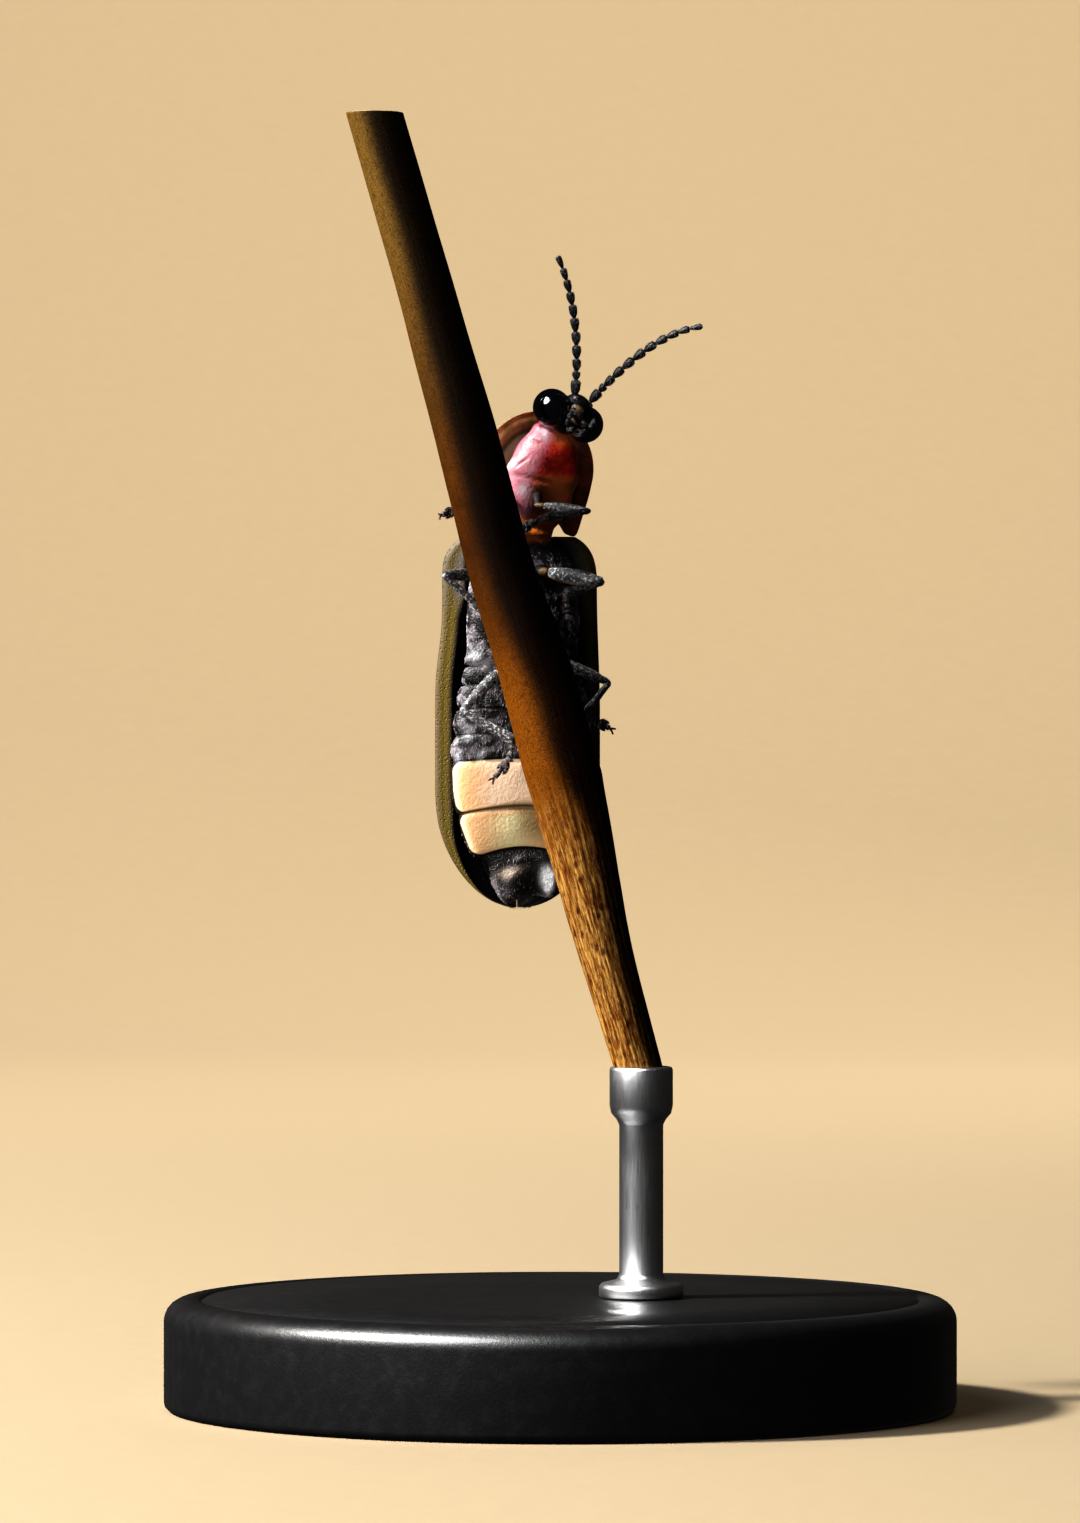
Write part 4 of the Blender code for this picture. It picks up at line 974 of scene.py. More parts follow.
def shield(material):
    """The pronotum: a domed disc with a sunk line down its middle, and a thin rim that curls up."""
    outline = shield_outline()
    centre = np.array(SHIELD_CENTRE)
    top = np.concatenate([np.linspace(0.02, 0.9, 40), np.linspace(0.915, 1.0, 14)])
    under = np.concatenate([np.linspace(0.995, 0.9, 12), np.linspace(0.87, 0.02, 30)])
    share = np.concatenate([top, under])[:, None]
    upper = np.arange(len(share))[:, None] < len(top)
    flat = centre + (outline - centre) * share[..., None]
    x, z = flat[..., 0], flat[..., 1]
    dome = SHIELD_DOME * (1 - smooth(0.12, 0.86, share)) * (1 - 0.35 * hill(0, 0.5, z))
    dome = dome - 0.05 * hill(0, 0.05, x) * smooth(0.9, 0.4, share)
    dome = dome + 0.05 * np.sin(x * 7) * np.sin(z * 5) * smooth(0.95, 0.5, share) * 0.4
    curl = 0.05 * smooth(0.84, 1.0, share)
    above = 0.10 + dome + curl - 0.10 * smooth(0.985, 1.0, share)
    beneath = 0.03 + curl * 0.8 - 0.22 * smooth(0.72, 0.50, share)
    rows = placed(prothorax_frame(), np.stack([x, np.where(upper, above, beneath), z], -1))
    masks = {
        "rose": upper * smooth(0.80, 0.62, share) * smooth(2.45, 2.15, z),
        "spot": upper * hill(0, 0.27, x) * hill(1.25, 0.62, z) * 1.25,
        "under": ~upper,
        # Painted shade on the underside's inner part next to the body, and a darker outer edge
        "brown": ~upper * smooth(0.80, 0.70, share) + smooth(0.975, 0.99, share) * 0.6,
        "fuzz": upper & (share < 0.97),
    }
    plate = Form().add(rows, masks).made("pronotum_shield", material)
    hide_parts("pronotum")
    return plate


def scutellum(material):
    """The small three-cornered plate between the fronts of the wing cases, on a short stalk."""
    steps = 24
    turn = circle(steps)
    rows = []
    for share in np.linspace(0.0, 1.0, 24):
        half = SCUTELLUM_HALF * (1 - share ** 1.5) + 0.015
        high = 0.64 - 0.04 * share
        x = half * signed_power(np.cos(turn), 0.8)
        y = high + 0.05 * signed_power(np.sin(turn), 0.9) - 0.05 * (x / SCUTELLUM_HALF) ** 2
        rows.append(np.stack([x, y, np.full(steps, 1.50 - 0.62 * share)], -1))
    stalk = [
        np.stack([0.20 * np.cos(turn), np.full(steps, y), 1.12 + 0.12 * np.sin(turn)], -1)
        for y in np.linspace(0.0, 0.60, 8)
    ]
    form = Form().add(placed(body_frame(), rows), {"gold": 0.35})
    plate = form.add(placed(body_frame(), stalk)).made("scutellum_plate", material)
    return plate


def oval_rows(middle, radii, rows=28, steps=40, place=None):
    """Rows over an egg shape, from its rear pole to its front one."""
    tilt = np.linspace(0.02, math.pi - 0.02, rows)[:, None]
    turn = circle(steps)[None, :]
    x = radii[0] * np.sin(tilt) * np.cos(turn)
    y = radii[1] * np.sin(tilt) * np.sin(turn)
    z = -radii[2] * np.cos(tilt) * np.ones_like(turn)
    points = np.stack([x, y, z], -1) + np.array(middle)
    return points if place is None else placed(place, points)


def sweep(points, radii, steps, flat=1.0, way=(0.0, -1.0, 0.0), rows=None):
    """Rows of rings along a line, as thick at each point as radii says and flattened along one way."""
    place = lengths_along(points)
    fine = np.linspace(0.0, place[-1], rows or max(12, len(points) * 7))
    line = ease_through(np.column_stack([place, points]), fine)
    thick = ease_through(np.column_stack([place, radii]), fine)
    along = unit(np.gradient(line, axis=0))
    thin = unit(way - along * (along * way).sum(1, keepdims=True))
    wide = np.cross(along, thin)
    turn = circle(steps)[None, :, None]
    ring = np.cos(turn) * wide[:, None] + flat * np.sin(turn) * thin[:, None]
    return line[:, None] + ring * thick[:, None]


# Eyes and skull, in the head's frame
EYE_RADIUS = 0.42
EYE_OFFSET = 0.485
RIGHT_EYE_GAIN = 0.016
RIGHT_EYE_SHIFT = (-0.005, -0.05, -0.035)
SKULL_MIDDLE = (0.0, 0.06, 0.0)
SKULL_RADII = (0.43, 0.36, 0.45)

# Lumps of the face: middle, radii and masks
FACE_LUMPS = (
    ((0.0, -0.17, 0.34), (0.31, 0.26, 0.20), {}),
    ((-0.05, -0.37, 0.21), (0.17, 0.12, 0.10), {"gold": 0.8, "pale": 0.9}),
    ((0.0, -0.40, 0.04), (0.18, 0.12, 0.12), {"gold": 0.12, "pale": 0.3}),
    ((0.0, -0.30, -0.04), (0.22, 0.20, 0.17), {}),
    ((-0.20, -0.31, 0.40), (0.095, 0.09, 0.080), {"pale": 0.7}),
    ((0.20, -0.28, 0.41), (0.095, 0.09, 0.080), {"pale": 0.15}),
)

# Jaws and palps of one side: line, radii, and a mask with its level
FACE_BARS = (
    (
        ((0.14, -0.42, 0.00), (0.20, -0.60, -0.05), (0.13, -0.72, -0.10), (0.03, -0.75, -0.13)),
        (0.075, 0.066, 0.040, 0.008), "gold", 0.14,
    ),
    (((0.15, -0.44, -0.20), (0.22, -0.56, -0.20), (0.27, -0.61, -0.12)), (0.045, 0.056, 0.048), "pale", 0.35),
    (((0.27, -0.61, -0.11), (0.30, -0.63, -0.03), (0.30, -0.65, 0.04)), (0.040, 0.054, 0.046), "pale", 0.3),
    (((0.30, -0.65, 0.05), (0.30, -0.67, 0.11), (0.27, -0.67, 0.19)), (0.050, 0.066, 0.010), "pale", 0.35),
    (((0.09, -0.44, -0.28), (0.12, -0.58, -0.33), (0.13, -0.64, -0.32)), (0.038, 0.050, 0.038), "pale", 0.35),
    (((0.13, -0.64, -0.32), (0.14, -0.69, -0.29), (0.13, -0.73, -0.22)), (0.036, 0.054, 0.008), "pale", 0.6),
)


def head_plates(material):
    """The head capsule: skull, forehead, gold lip plate, feeler sockets, jaws, jointed palps, eye rings."""
    place = head_frame()
    skull = oval_rows(SKULL_MIDDLE, SKULL_RADII, 48, 64)
    away = np.linalg.norm(skull - np.array(SKULL_MIDDLE), axis=-1)
    dent = 0.04 * hill(0, 0.08, skull[..., 0]) * hill(0.35, 0.25, skull[..., 2])
    form = Form().add(placed(place, skull * (1 - (dent / away)[..., None])), {}, (0.0, 0.0, 0.2, 1.0))
    for i, (middle, radii, masks) in enumerate(FACE_LUMPS):
        low = 0.21 + i * 0.05
        form.add(oval_rows(middle, radii, place=place), masks, (low, 0.0, low + 0.04, 1.0))
    toward = Vector(place.to_3x3() @ Vector((0.0, -1.0, 0.0)))
    for hand, side in enumerate((-1, 1)):
        for i, (points, radii, mask, level) in enumerate(FACE_BARS):
            points = placed(place, np.array(points) * (side, 1, 1))
            low = 0.52 + (i + len(FACE_BARS) * hand) * 0.038
            form.add(sweep(points, radii, 18, way=toward[:]), {mask: level}, (low, 0.0, low + 0.03, 1.0))
    turn = circle(48)
    for side in (-1, 1):
        rings = []
        for share in np.linspace(0.0, 1.0, 8):
            wide = 0.31 + 0.035 * math.sin(math.pi * share)
            x = side * (0.20 + 0.10 * share)
            rings.append(np.stack([np.full(len(turn), x), wide * np.cos(turn), wide * np.sin(turn)], -1))
        form.add(placed(place, rings), {}, (0.98, 0.0, 0.99, 1.0))
    head = form.made("head_plates", material)
    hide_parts("head")
    return head


def eyes(material):
    """The two large glossy eyes, each a full round set into the head."""
    for name, side, radius, shift in (
        ("eye_left", 1, EYE_RADIUS, (0.0, 0.0, 0.0)),
        ("eye_right", -1, EYE_RADIUS + RIGHT_EYE_GAIN, RIGHT_EYE_SHIFT),
    ):
        place = Matrix.Translation(shift) @ head_frame()
        rows = oval_rows((side * EYE_OFFSET, 0.0, 0.0), (radius,) * 3, 72, 96, place)
        eye = Form().add(rows).made(name + "_glossy", material)
        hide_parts(name)
        yield eye


# Four guide points of each feeler from the head's middle, the lengths of its joints, and their radii
FEELERS = {
    "antenna_right": ((0.14, -0.26, 0.42), (0.25, -0.40, 1.50), (0.17, -0.46, 2.68), (-0.25, -0.52, 3.62)),
    "antenna_left": ((0.49, -0.18, 0.30), (1.08, -0.27, 0.98), (2.06, -0.32, 1.92), (3.06, -0.40, 2.02)),
}
FEELER_LENGTHS = (1.25, 0.62, 0.92, 1.0, 1.02, 1.02, 1.0, 0.98, 0.96, 0.96, 1.05)
FEELER_WIDTHS = (0.112, 0.092, 0.098, 0.102, 0.102, 0.100, 0.096, 0.092, 0.086, 0.080, 0.068)
FEELER_PROFILE = (
    (0.0, 0.30), (0.04, 0.42), (0.10, 0.50), (0.22, 0.70), (0.42, 0.90), (0.64, 1.0),
    (0.80, 0.99), (0.89, 0.90), (0.94, 0.72), (0.97, 0.48), (1.0, 0.34),
)


def bezier(points, share):
    """A point on the curve from the first of four points to the last, guided by the other two."""
    a, b, c, d = (np.array(p, float) for p in points)
    rest = 1 - share
    return a * rest ** 3 + 3 * b * rest ** 2 * share + 3 * c * rest * share ** 2 + d * share ** 3


def feeler_joint():
    """One joint of a feeler, 1 mm long and in radius along Z: a thin neck that widens to a full head."""
    at = np.linspace(0.0, 1.0, 22)[:, None]
    turn = circle(22)
    radius = ease_through(FEELER_PROFILE, at[:, 0])
    rows = np.stack([radius * np.cos(turn), radius * np.sin(turn), np.broadcast_to(at, (22, 22))], -1)
    pale = smooth(0.90, 0.97, at)
    return Form().add(rows, {"pale": pale, "fuzz": (1 - pale) * smooth(0.05, 0.15, at)})


def group(name, inputs):
    """An empty geometry tree with these named inputs, its input and output nodes."""
    tree = bpy.data.node_groups.new(name, "GeometryNodeTree")
    for way in ("INPUT", "OUTPUT"):
        tree.interface.new_socket("Geometry", in_out=way, socket_type="NodeSocketGeometry")
    for title, kind in inputs.items():
        tree.interface.new_socket(title, in_out="INPUT", socket_type="NodeSocket" + kind)
    return tree, tree.nodes.new("NodeGroupInput"), tree.nodes.new("NodeGroupOutput")


def add_node(tree, kind, settings=None, inputs=None):
    """A geometry node: settings first, then the values or links of its sockets."""
    made = tree.nodes.new(kind)
    for key, value in (settings or {}).items():
        setattr(made, key, value)
    for key, value in (inputs or {}).items():
        if isinstance(value, bpy.types.NodeSocket):
            tree.links.new(value, made.inputs[key])
        else:
            made.inputs[key].default_value = value
    return made


def named(tree, name, kind="FLOAT_VECTOR"):
    """A named attribute's value."""
    return add_node(tree, "GeometryNodeInputNamedAttribute", {"data_type": kind}, {"Name": name}).outputs[0]


def planted(tree, points, source, turn, size):
    """A copy of an object at every point, turned and sized, as real geometry."""
    shape = add_node(tree, "GeometryNodeObjectInfo", inputs={"Object": source})
    inputs = {"Points": points, "Instance": shape.outputs["Geometry"], "Rotation": turn, "Scale": size}
    copies = add_node(tree, "GeometryNodeInstanceOnPoints", inputs=inputs)
    return add_node(tree, "GeometryNodeRealizeInstances", inputs={0: copies.outputs[0]}).outputs[0]


def finished(tree, geometry, given, out):
    """The tree, ended by the finish on its geometry."""
    inputs = {"Geometry": geometry, "Material": given.outputs["Finish"]}
    tree.links.new(add_node(tree, "GeometryNodeSetMaterial", inputs=inputs).outputs[0], out.inputs[0])
    return tree


def beads_tree():
    """Sets one shape at every mark of a line, turned along it and as large as the mark says."""
    tree, given, out = group("beads_on_a_line", {"Bead": "Object", "Finish": "Material"})
    turn = add_node(
        tree, "FunctionNodeAlignRotationToVector", {"axis": "Z"}, {"Vector": named(tree, "along")}
    )
    beads = planted(
        tree, given.outputs["Geometry"], given.outputs["Bead"], turn.outputs[0], named(tree, "girth")
    )
    return finished(tree, beads, given, out)


def grown(base, tree, inputs, name, material):
    """Runs a geometry tree on a base piece and returns the result as a plain piece of its own."""
    modifier = base.modifiers.new("Grow", "NODES")
    modifier.node_group = tree
    for item in tree.interface.items_tree:
        if item.in_out == "INPUT" and item.name in inputs:
            modifier[item.identifier] = inputs[item.name]
    bpy.context.view_layer.update()
    graph = bpy.context.evaluated_depsgraph_get()
    mesh = bpy.data.meshes.new_from_object(base.evaluated_get(graph))
    base.modifiers.remove(modifier)
    mesh.name = name
    return object_of(name, mesh, material)


def feelers(material):
    """The two feelers of eleven joints each, threaded on their curves."""
    bead = feeler_joint().made("feeler_joint", material)
    bead.data.transform(Matrix.Scale(1 / MM, 4))
    tree = beads_tree()
    ends = np.append(0.0, np.cumsum(FEELER_LENGTHS)) / sum(FEELER_LENGTHS)
    for name, guides in FEELERS.items():
        feet = np.array([bezier(guides, share) for share in ends]) + np.array(HEAD_PLACE)
        along = np.diff(feet, axis=0)
        length = np.linalg.norm(along, axis=1)
        mesh = bpy.data.meshes.new(name + "_marks")
        mesh.from_pydata((feet[:-1] * MM).tolist(), [], [])
        add_vectors(mesh, "along", along)
        add_vectors(mesh, "girth", np.stack([FEELER_WIDTHS, FEELER_WIDTHS, length * 1.015], -1) * MM)
        marks = object_of(name + "_marks", mesh, material)
        piece = grown(marks, tree, {"Bead": bead, "Finish": material}, name + "_joints", material)
        bpy.data.objects.remove(marks)
        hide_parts(name)
        yield piece
    bpy.data.objects.remove(bead)


# Hip, trochanter, knee, ankle, third foot joint's end and toe of each leg
LEGS = {
    "leg_front_left": (
        (-0.52, 1.86, 20.80), (-0.50, 1.40, 20.56), (0.66, 1.00, 20.42),
        (-0.36, 0.55, 20.26), (-0.66, 1.10, 20.12), (-1.00, 1.22, 19.96),
    ),
    "leg_front_right": (
        (-1.34, 1.86, 20.84), (-1.42, 1.50, 20.66), (-2.34, 1.95, 20.84),
        (-2.06, 1.12, 20.30), (-2.42, 0.86, 20.42), (-2.74, 0.62, 20.30),
    ),
    "leg_middle_left": (
        (-0.48, 1.84, 19.05), (-0.40, 1.42, 19.04), (0.97, 1.05, 18.80),
        (0.10, 0.42, 18.52), (0.16, 0.44, 18.06), (0.26, 0.46, 17.60),
    ),
    "leg_middle_right": (
        (-1.26, 1.80, 18.98), (-1.52, 1.42, 18.98), (-2.65, 0.55, 18.94),
        (-1.68, 1.00, 18.06), (-1.56, 1.08, 17.78), (-1.42, 1.12, 17.50),
    ),
    "leg_hind_left": (
        (-0.42, 1.84, 17.22), (-0.24, 1.44, 17.10), (1.12, 1.55, 16.50),
        (0.50, 1.06, 15.70), (0.86, 1.00, 15.60), (1.18, 0.94, 15.42),
    ),
    "leg_hind_right": (
        (-1.20, 1.80, 17.12), (-1.32, 1.46, 16.86), (-2.25, 0.95, 15.84),
        (-1.06, 1.06, 15.18), (-1.18, 1.02, 14.68), (-1.56, 0.98, 14.26),
    ),
}

# How thick each leg is, as a share of the shapes below
LEG_GIRTH = {
    "leg_front_left": 0.62, "leg_front_right": 0.7, "leg_middle_left": 1.0,
    "leg_middle_right": 0.78, "leg_hind_left": 0.72, "leg_hind_right": 0.72,
}

# How pale the bloom is on each leg's thigh and shin: partly the hairs' grey bloom, partly painted light on
# parts that catch the light and painted shade on parts that lie in shadow
LEG_BLOOM_AND_LIGHT = {
    "leg_front_left": (0.6, 0.0), "leg_front_right": (0.5, 0.7), "leg_middle_left": (1.0, 0.3),
    "leg_middle_right": (0.15, 1.0), "leg_hind_left": (0.5, 0.45), "leg_hind_right": (0.85, 1.0),
}

# Share of the length and radius along each joint, and the foot joints' necks and widths
HIP_SHAPE = ((0.0, 0.15), (0.35, 0.17), (0.75, 0.125), (0.95, 0.08), (1.0, 0.04))
TROCHANTER_SHAPE = ((0.0, 0.05), (0.4, 0.105), (0.75, 0.110), (1.0, 0.07))
THIGH_SHAPE = (
    (0.06, 0.06), (0.12, 0.11), (0.3, 0.165), (0.52, 0.18), (0.75, 0.155), (0.92, 0.115), (0.985, 0.095),
    (1.01, 0.04),
)
SHIN_SHAPE = (
    (-0.035, 0.03), (0.0, 0.070), (0.05, 0.082), (0.3, 0.085), (0.7, 0.098), (0.93, 0.112), (0.985, 0.10),
    (1.0, 0.05),
)
FOOT_WIDTHS = ((0.040, 0.074), (0.045, 0.084), (0.050, 0.098), (0.056, 0.128), (0.034, 0.066))
THIGH_STEPS = 26


def leg(name, material):
    """One leg: hip, gold trochanter, spindle thigh, slim shin, five foot joints, the fourth lobed, claws."""
    hip, trochanter, knee, ankle, middle, toe = (np.array(p) for p in LEGS[name])
    parts = []

    def bar(start, end, shape, flat=1.0, masks=None, steps=THIGH_STEPS, rows=None, stout=1.0):
        points = [start + (end - start) * share for share, _ in shape]
        radii = [radius * stout for _, radius in shape]
        parts.append((sweep(points, radii, steps, flat, rows=rows), masks or {}))

    girth = LEG_GIRTH[name]
    slim = 0.62 if "front" in name else 1.0
    bar(hip + (hip - trochanter) * 0.35, trochanter, HIP_SHAPE, 0.9, stout=slim)
    out = unit(knee - trochanter)
    start = trochanter - out * 0.09
    bar(start, start + out * 0.26, TROCHANTER_SHAPE, 1.0, {"gold": 0.26}, stout=slim)
    gold = hill(0.5, 0.35, circle(THIGH_STEPS)) * (0.9 if name == "leg_middle_left" else 0.0)
    pale_thigh, pale_shin = LEG_BLOOM_AND_LIGHT[name]
    masks = {"pale": pale_thigh, "gold": gold, "fuzz": 1.0}
    bar(trochanter, knee, THIGH_SHAPE, 0.84, masks, rows=60, stout=girth)
    stout = 1.15 if name == "leg_hind_right" else 0.6 + 0.4 * girth
    bar(knee, ankle, SHIN_SHAPE, 0.85, {"pale": pale_shin, "fuzz": 1.0}, rows=60, stout=stout)
    track = [(ankle, middle, a, b) for a, b in ((0.0, 0.46), (0.47, 0.74), (0.75, 0.98))]
    track += [(middle, toe, 0.0, 0.34), (middle, toe, 0.26, 0.86)]
    masks = {"claw": 0.30, "pale": 0.3, "fuzz": 1.0}
    for (low, high, a, b), (neck, wide) in zip(track, FOOT_WIDTHS):
        shape = ((0.0, neck * 0.6), (0.12, neck), (0.5, wide * 0.86), (0.85, wide), (1.0, wide * 0.5))
        bar(low + (high - low) * a, low + (high - low) * b, shape, 0.72, masks, steps=18)
    ahead, down = unit(toe - middle), unit(ankle - knee)
    side = unit(np.cross(ahead, (0.0, 1.0, 0.3)))
    under = np.cross(ahead, side)
    lobe = middle + (toe - middle) * 0.22
    tip = middle + (toe - middle) * 0.86
    end = knee + (ankle - knee) * 0.965
    for aside in (-side, side):
        lobe_line = (lobe, lobe + aside * 0.075 + ahead * 0.06, lobe + aside * 0.10 + ahead * 0.16)
        claw = (
            tip, tip + aside * 0.035 + ahead * 0.07,
            tip + aside * 0.065 + ahead * 0.13 + under * 0.05,
            tip + aside * 0.062 + ahead * 0.125 + under * 0.125,
        )
        spur = (end, end + down * 0.07 + aside * 0.06, end + down * 0.15 + aside * 0.085)
        parts += [
            (sweep(lobe_line, (0.03, 0.052, 0.022), 14), {"claw": 0.35, "fuzz": 1.0}),
            (sweep(claw, (0.026, 0.024, 0.016, 0.003), 12, way=(0.3, 0.2, -1.0)), {"claw": 1.0}),
            (sweep(spur, (0.02, 0.015, 0.003), 8, way=(0.3, -1.0, 0.2)), {"gold": 0.5}),
        ]
    form = Form()
    for i, (rows, masks) in enumerate(parts):
        low = i / len(parts)
        form.add(rows, masks, (low, 0.0, low + 0.85 / len(parts), 1.0))
    piece = form.made(name + "_jointed", material)
    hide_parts(name)
    return piece


HAIR_PATCH = 0.003  # side of each hair's own patch on its skin's unwrap


def hair(name, girth, bend, material):
    """One hair, 1 mm long along Z: three sides that narrow to a point and bow towards the skin."""
    points, patches = [], []
    for share, wide in ((0.0, 0.85), (0.45, 1.0)):
        for angle in circle(3):
            x = girth * wide * math.cos(angle) - bend * share ** 2
            points.append((x, girth * wide * math.sin(angle), share))
            patches.append((angle / 6.3 * HAIR_PATCH, share * HAIR_PATCH, 0.0))
    points.append((-bend, 0.0, 1.0))
    patches.append((0.5 * HAIR_PATCH, HAIR_PATCH, 0.0))
    faces = [(0, 2, 1)]
    for i in range(3):
        after = (i + 1) % 3
        faces += [(i, after, 3 + after, 3 + i), (3 + i, 3 + after, 6)]
    mesh = bpy.data.meshes.new(name)
    mesh.from_pydata(points, [], faces)
    add_vectors(mesh, "patch", patches)
    return object_of(name, mesh, material)


def coat_tree():
    """Sows hairs over a skin where its down mask says, laid along the skin's lie, with their bake patches."""
    tree, given, out = group(
        "coat_of_down",
        {
            "Hair": "Object", "Finish": "Material", "Density": "Float", "Length": "Float", "Lift": "Float",
            "Spread": "Float", "Seed": "Int",
        },
    )
    wish = given.outputs

    def maths(operation, first, second):
        return add_node(tree, "ShaderNodeMath", {"operation": operation}, {0: first, 1: second}).outputs[0]

    def vector(operation, *values, size=None):
        inputs = dict(enumerate(values))
        if size is not None:
            inputs["Scale"] = size
        made = add_node(tree, "ShaderNodeVectorMath", {"operation": operation}, inputs)
        return made.outputs["Value" if operation == "DOT_PRODUCT" else "Vector"]

    def chance(low, high, seed_shift):
        inputs = {2: low, 3: high, "Seed": maths("ADD", wish["Seed"], seed_shift)}
        return add_node(tree, "FunctionNodeRandomValue", {"data_type": "FLOAT"}, inputs).outputs[1]

    def store(geometry, name, value, kind="FLOAT_VECTOR", domain="POINT"):
        settings = {"data_type": kind, "domain": domain}
        inputs = {"Geometry": geometry, "Name": name, "Value": value}
        return add_node(tree, "GeometryNodeStoreNamedAttribute", settings, inputs).outputs[0]

    spots = add_node(
        tree, "GeometryNodeDistributePointsOnFaces", {"distribute_method": "RANDOM"},
        {
            "Mesh": wish["Geometry"], "Seed": wish["Seed"],
            "Density": maths("MULTIPLY", wish["Density"], named(tree, "fuzz", "FLOAT")),
        },
    )
    points = store(spots.outputs["Points"], "out", spots.outputs["Normal"])
    points = store(points, "root", named(tree, "unwrap"))
    points = store(points, "tint", chance(0.0, 1.0, 11), "FLOAT")
    away, lie = named(tree, "out"), named(tree, "lie")
    flat = vector("SUBTRACT", lie, vector("SCALE", away, size=vector("DOT_PRODUCT", lie, away)))
    flat = vector("NORMALIZE", flat)
    aside = vector("NORMALIZE", vector("CROSS_PRODUCT", away, flat))
    swing = maths("MULTIPLY", wish["Spread"], chance(-1.0, 1.0, 23))
    lift = maths("MULTIPLY", wish["Lift"], chance(0.5, 1.5, 37))
    way = vector("ADD", flat, vector("SCALE", aside, size=swing))
    way = vector("NORMALIZE", vector("ADD", way, vector("SCALE", away, size=lift)))
    turn = add_node(tree, "FunctionNodeAlignRotationToVector", {"axis": "Z"}, {"Vector": way})
    turn = add_node(
        tree, "FunctionNodeAlignRotationToVector", {"axis": "X", "pivot_axis": "Z"},
        {"Rotation": turn.outputs[0], "Vector": away},
    )
    size = maths("MULTIPLY", wish["Length"], chance(0.65, 1.3, 51))
    hairs = planted(tree, points, wish["Hair"], turn.outputs[0], size)
    bake = vector("ADD", named(tree, "root"), named(tree, "patch"))
    return finished(tree, store(hairs, "OFBake", bake, "FLOAT2", "CORNER"), given, out)


def coat(tree, strand, skin, material, slot, density, length, lift, spread):
    """A coat of fine hairs: so many a square millimetre, so long, and lifted and spread so far."""
    inputs = {
        "Hair": strand, "Finish": material, "Density": density / MM ** 2, "Length": length * MM,
        "Lift": lift, "Spread": spread, "Seed": SEED,
    }
    piece = grown(skin, tree, inputs, skin.name + "_down", material)
    for name in ("root", "patch", "lie", "out", "unwrap"):
        layer = piece.data.attributes.get(name)
        if layer:
            piece.data.attributes.remove(layer)
    return piece


def stem(skin_material, cut_material):
    """The cut stem: flutes and fibres along it, coarser below, with a flat pale cut at each end."""
    height = np.linspace(STEM_FOOT[2] + CUT_RISE, STEM_TOP - CUT_RISE, 420)
    turn = circle(176)
    line, radius = ease_through(STEM_LINE, height), ease_through(STEM_RADII, height)
    height = height[:, None]
    low = smooth(15.4, 12.4, height)
    swirl = turn + 0.05 * np.sin(height * 0.5)
    flutes = 0.010 * np.cos(11 * swirl) * low
    fibres = 0.009 * np.sin(27 * swirl + 1.3 * np.sin(height * 0.21)) * (0.12 + low)
    fibres = fibres + 0.006 * np.sin(43 * swirl + np.sin(height * 0.9) * 1.1) * (0.2 + low)
    lumps = 0.008 * np.sin(height * 2.3) * np.sin(3 * turn + 0.7)
    collar = 0.020 * hill(14.45, 0.22, height) * (0.6 + 0.4 * np.cos(turn - 0.4))
    reach = radius * (1 + flutes + fibres + lumps + collar)
    level = np.broadcast_to(height, reach.shape)
    rows = np.stack([line + reach * np.cos(turn), reach * np.sin(turn), level], -1)
    # Painted shade: a mask over the stem's +X side, painted dark as if in shadow; the edge of that shade
    # moves with height
    shade_edge = 0.12 * smooth(22.0, 27.0, height) - 0.24 * smooth(15.8, 19.2, height)
    shade_edge = shade_edge - 0.12 + 0.60 * smooth(15.2, 13.0, height) + 0.03 * np.sin(height * 1.7)
    weathered = smooth(shade_edge - 0.42, shade_edge + 0.22, np.cos(turn))
    bark = Form().add(rows, {"weathered": weathered}).made("stem_bark", skin_material)
    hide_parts("stem")
    pieces = [bark]
    for name, end, step in (("stem_cut_top", -1, 1), ("stem_cut_foot", 0, -1)):
        centre = rows[end].mean(0)
        rings = []
        for share, rise in CUT_PROFILE:
            ring = centre + (rows[end] - centre) * share
            ring[:, 2] += rise * step
            rings.append(ring)
        cut = Form().add(rings).made(name, cut_material)
        pieces.append(cut)
    return pieces


def turned(profile, steps=160, centre=(0.0, 0.0)):
    """Rows of a turned shape from (radius, height) pairs."""
    radius, height = np.array(profile, float).T[..., None]
    turn = circle(steps)
    x, y = centre[0] + radius * np.cos(turn), centre[1] + radius * np.sin(turn)
    return np.stack([x, y, np.broadcast_to(height, x.shape)], -1)


def stand(base_material, steel):
    """The base with an eased edge and a fine line, and the rod with a foot ring and a cup for the stem."""
    edge = BASE_EDGE
    profile = [(2.0, 0.0), (8.6, 0.0), (8.9, 0.02), (BASE_RADIUS - 0.02, 0.10), (BASE_RADIUS, 0.2)]
    profile += [(BASE_RADIUS, BASE_HEIGHT - edge - 0.1)]
    profile += [
        (BASE_RADIUS - edge * (1 - math.cos(a)), BASE_HEIGHT - edge * (1 - math.sin(a)))
        for a in np.linspace(0.0, math.pi / 2, 14)
    ]
    profile += [(radius, BASE_HEIGHT - sunk) for radius, sunk in BASE_LINE]
    base = Form().add(turned(profile)).made("stand_base_turned", base_material)
    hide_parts("stand_base")
    profile = [(radius, BASE_HEIGHT + rise) for radius, rise in ROD_FOOT]
    profile += [(ROD_RADIUS, 4.0), (ROD_RADIUS, 5.5)]
    profile += [(radius, ROD_TOP + rise) for radius, rise in ROD_CUP]
    rod = Form().add(turned(profile, 72, STEM_FOOT[:2])).made("stand_rod_turned", steel)
    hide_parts("stand_rod")
    return [base, rod]


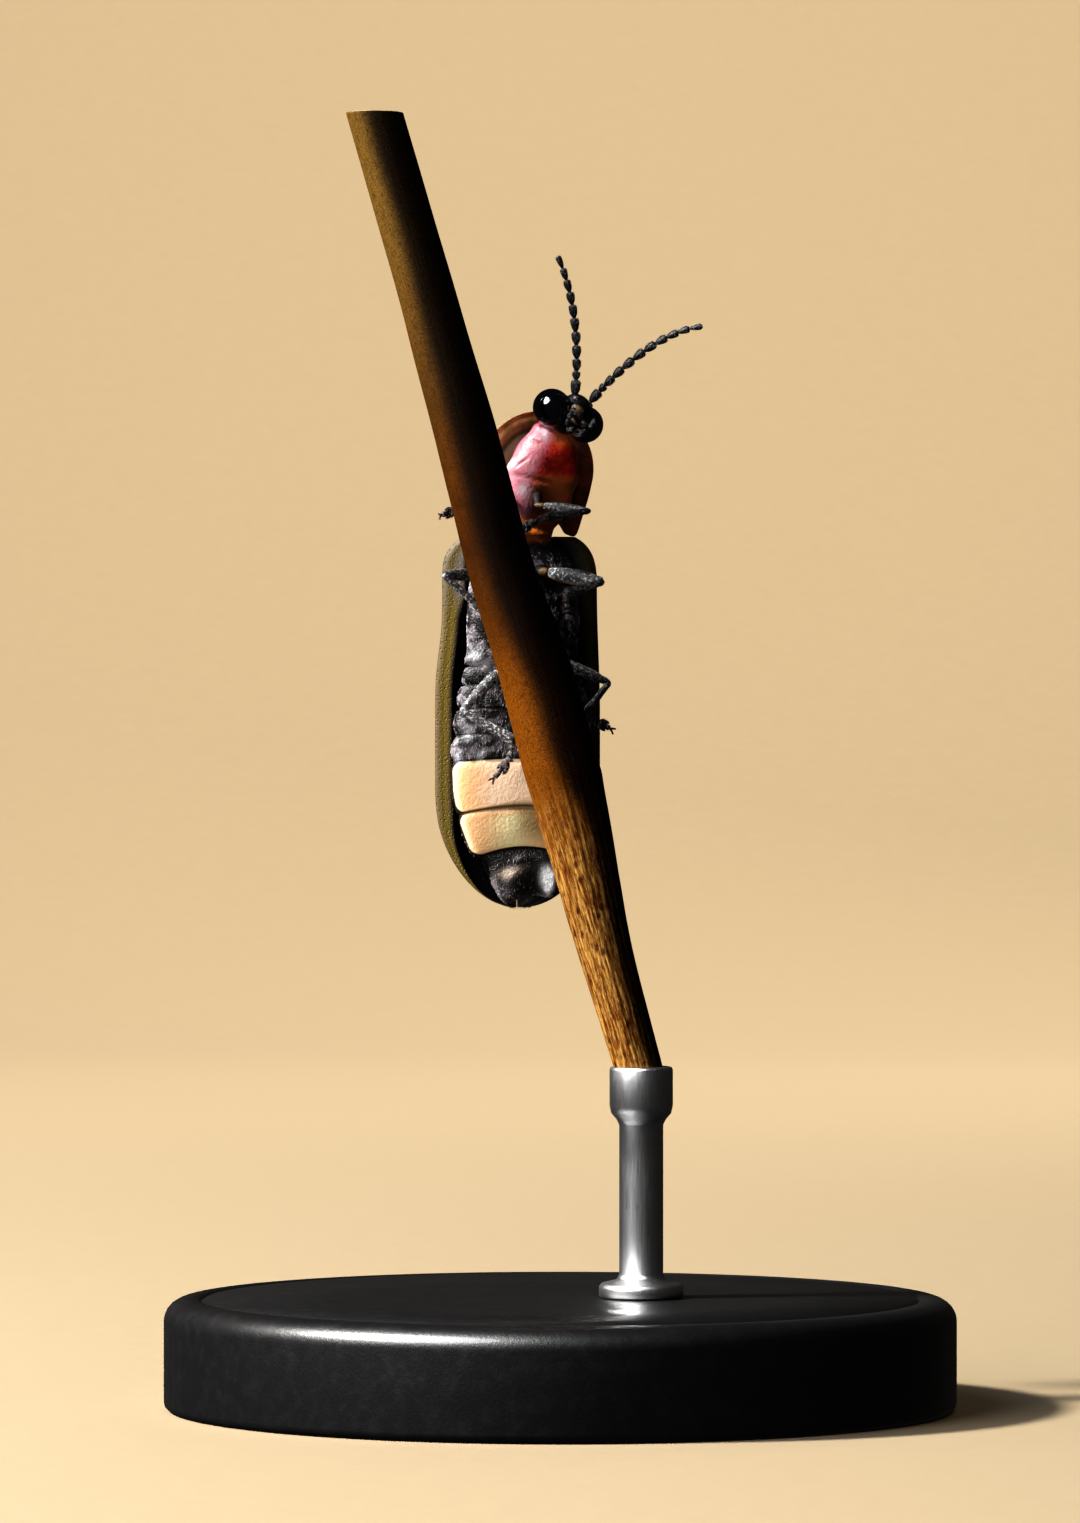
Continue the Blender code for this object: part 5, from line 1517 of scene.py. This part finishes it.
def studio(paper):
    """A pale floor that curves up behind, lit from the upper left with weak fills round it, and the camera.

    The spark shows in glossy surfaces only, the fills don't show there, and the cove glow is the backdrop's.
    """
    scene = bpy.context.scene
    line = [(-FLOOR_REACH, 0.0), (COVE_START, 0.0)]
    line += [
        (COVE_START + COVE_RADIUS * math.sin(a), COVE_RADIUS * (1 - math.cos(a)))
        for a in np.linspace(0.0, math.pi / 2, 24)[1:]
    ]
    line += [(COVE_START + COVE_RADIUS, FLOOR_REACH)]
    points = [(x * MM, y * MM, z * MM) for y, z in line for x in (-FLOOR_REACH, FLOOR_REACH)]
    faces = [(2 * i, 2 * i + 1, 2 * i + 3, 2 * i + 2) for i in range(len(line) - 1)]
    mesh = bpy.data.meshes.new("paper_cove")
    mesh.from_pydata(points, [], faces)
    cove = object_of("paper_cove", mesh, paper)
    cove.visible_diffuse = False
    cove.visible_glossy = False
    for name, place, wide, high, power, colour in LIGHTS:
        light = bpy.data.lights.new(name, "AREA")
        light.shape = "ELLIPSE" if name == "spark" else "RECTANGLE"
        light.size, light.size_y = wide * MM, high * MM
        light.energy, light.color = power, colour
        lamp = bpy.data.objects.new(name, light)
        lamp.location = Vector(place) * MM
        aim = COVE_AIM if name == "cove_glow" else CAMERA_AIM
        lamp.rotation_euler = (Vector(aim) * MM - lamp.location).to_track_quat("-Z", "Y").to_euler()
        lamp.visible_diffuse = name != "spark"
        lamp.visible_glossy = name not in ("front_fill", "side_left", "back_soft")
        scene.collection.objects.link(lamp)
    scene.view_settings.view_transform = "Standard"
    scene.view_settings.look = "High Contrast"
    world = bpy.data.worlds.new("soft_room")
    world.use_nodes = True
    air = world.node_tree.nodes["Background"].inputs
    air["Color"].default_value = rgba((1.0, 0.94, 0.86))
    air["Strength"].default_value = 0.03
    scene.world = world
    camera = bpy.data.cameras.new("camera")
    camera.sensor_fit = "AUTO"
    camera.sensor_width = SENSOR
    camera.lens = SENSOR * CAMERA_DISTANCE / FRAME_HEIGHT
    camera.clip_start, camera.clip_end = 0.01, 10.0
    eye = bpy.data.objects.new("camera", camera)
    eye.location = (Vector(CAMERA_AIM) - Vector((0.0, CAMERA_DISTANCE, 0.0))) * MM
    eye.rotation_euler = (math.pi / 2, 0.0, 0.0)
    scene.collection.objects.link(eye)
    bpy.context.scene.camera = eye


def build():
    """Makes every piece and sets it on the model's one body."""
    limb, cuticle, case = limb_paint(), skin_paint(), wing_case_paint()
    silver = hair_paint("silver_down", (0.10, 0.095, 0.105), (0.66, 0.63, 0.69), 0.40)
    grey = hair_paint("grey_down", (0.02, 0.02, 0.022), (0.66, 0.68, 0.74), 0.38)
    bronze = hair_paint("bronze_down", (0.13, 0.095, 0.055), (0.42, 0.33, 0.21), 0.40)
    studio(floor_paint())
    pieces = stand(base_paint(), rod_paint())
    pieces += stem(stem_paint(), pith_paint())
    skin = body_skin(cuticle)
    cases = list(wing_cases(case))
    plate = shield(shield_paint())
    legs = [leg(name, limb) for name in LEGS]
    joints = list(feelers(limb))
    pieces += [skin, plate, scutellum(limb), head_plates(limb), *cases, *legs, *joints, *eyes(eye_paint())]
    tree = coat_tree()
    strand = hair("strand", girth=0.045, bend=0.16, material=silver)
    # Hairs a square mm, their length in mm, their lift and their spread
    coats = [(skin, silver, "dark_cuticle", 700, 0.085, 0.26, 0.35)]
    coats += [(piece, bronze, "elytron", 380, 0.085, 0.30, 0.25) for piece in cases]
    coats += [(plate, bronze, "pronotum", 380, 0.10, 0.34, 0.35)]
    coats += [(piece, grey, "dark_cuticle", 460, 0.06, 0.30, 0.35) for piece in legs + joints]
    pieces += [coat(tree, strand, *row) for row in coats]
    bpy.data.objects.remove(strand)
    for piece in pieces:
        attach(piece, "root")


build()
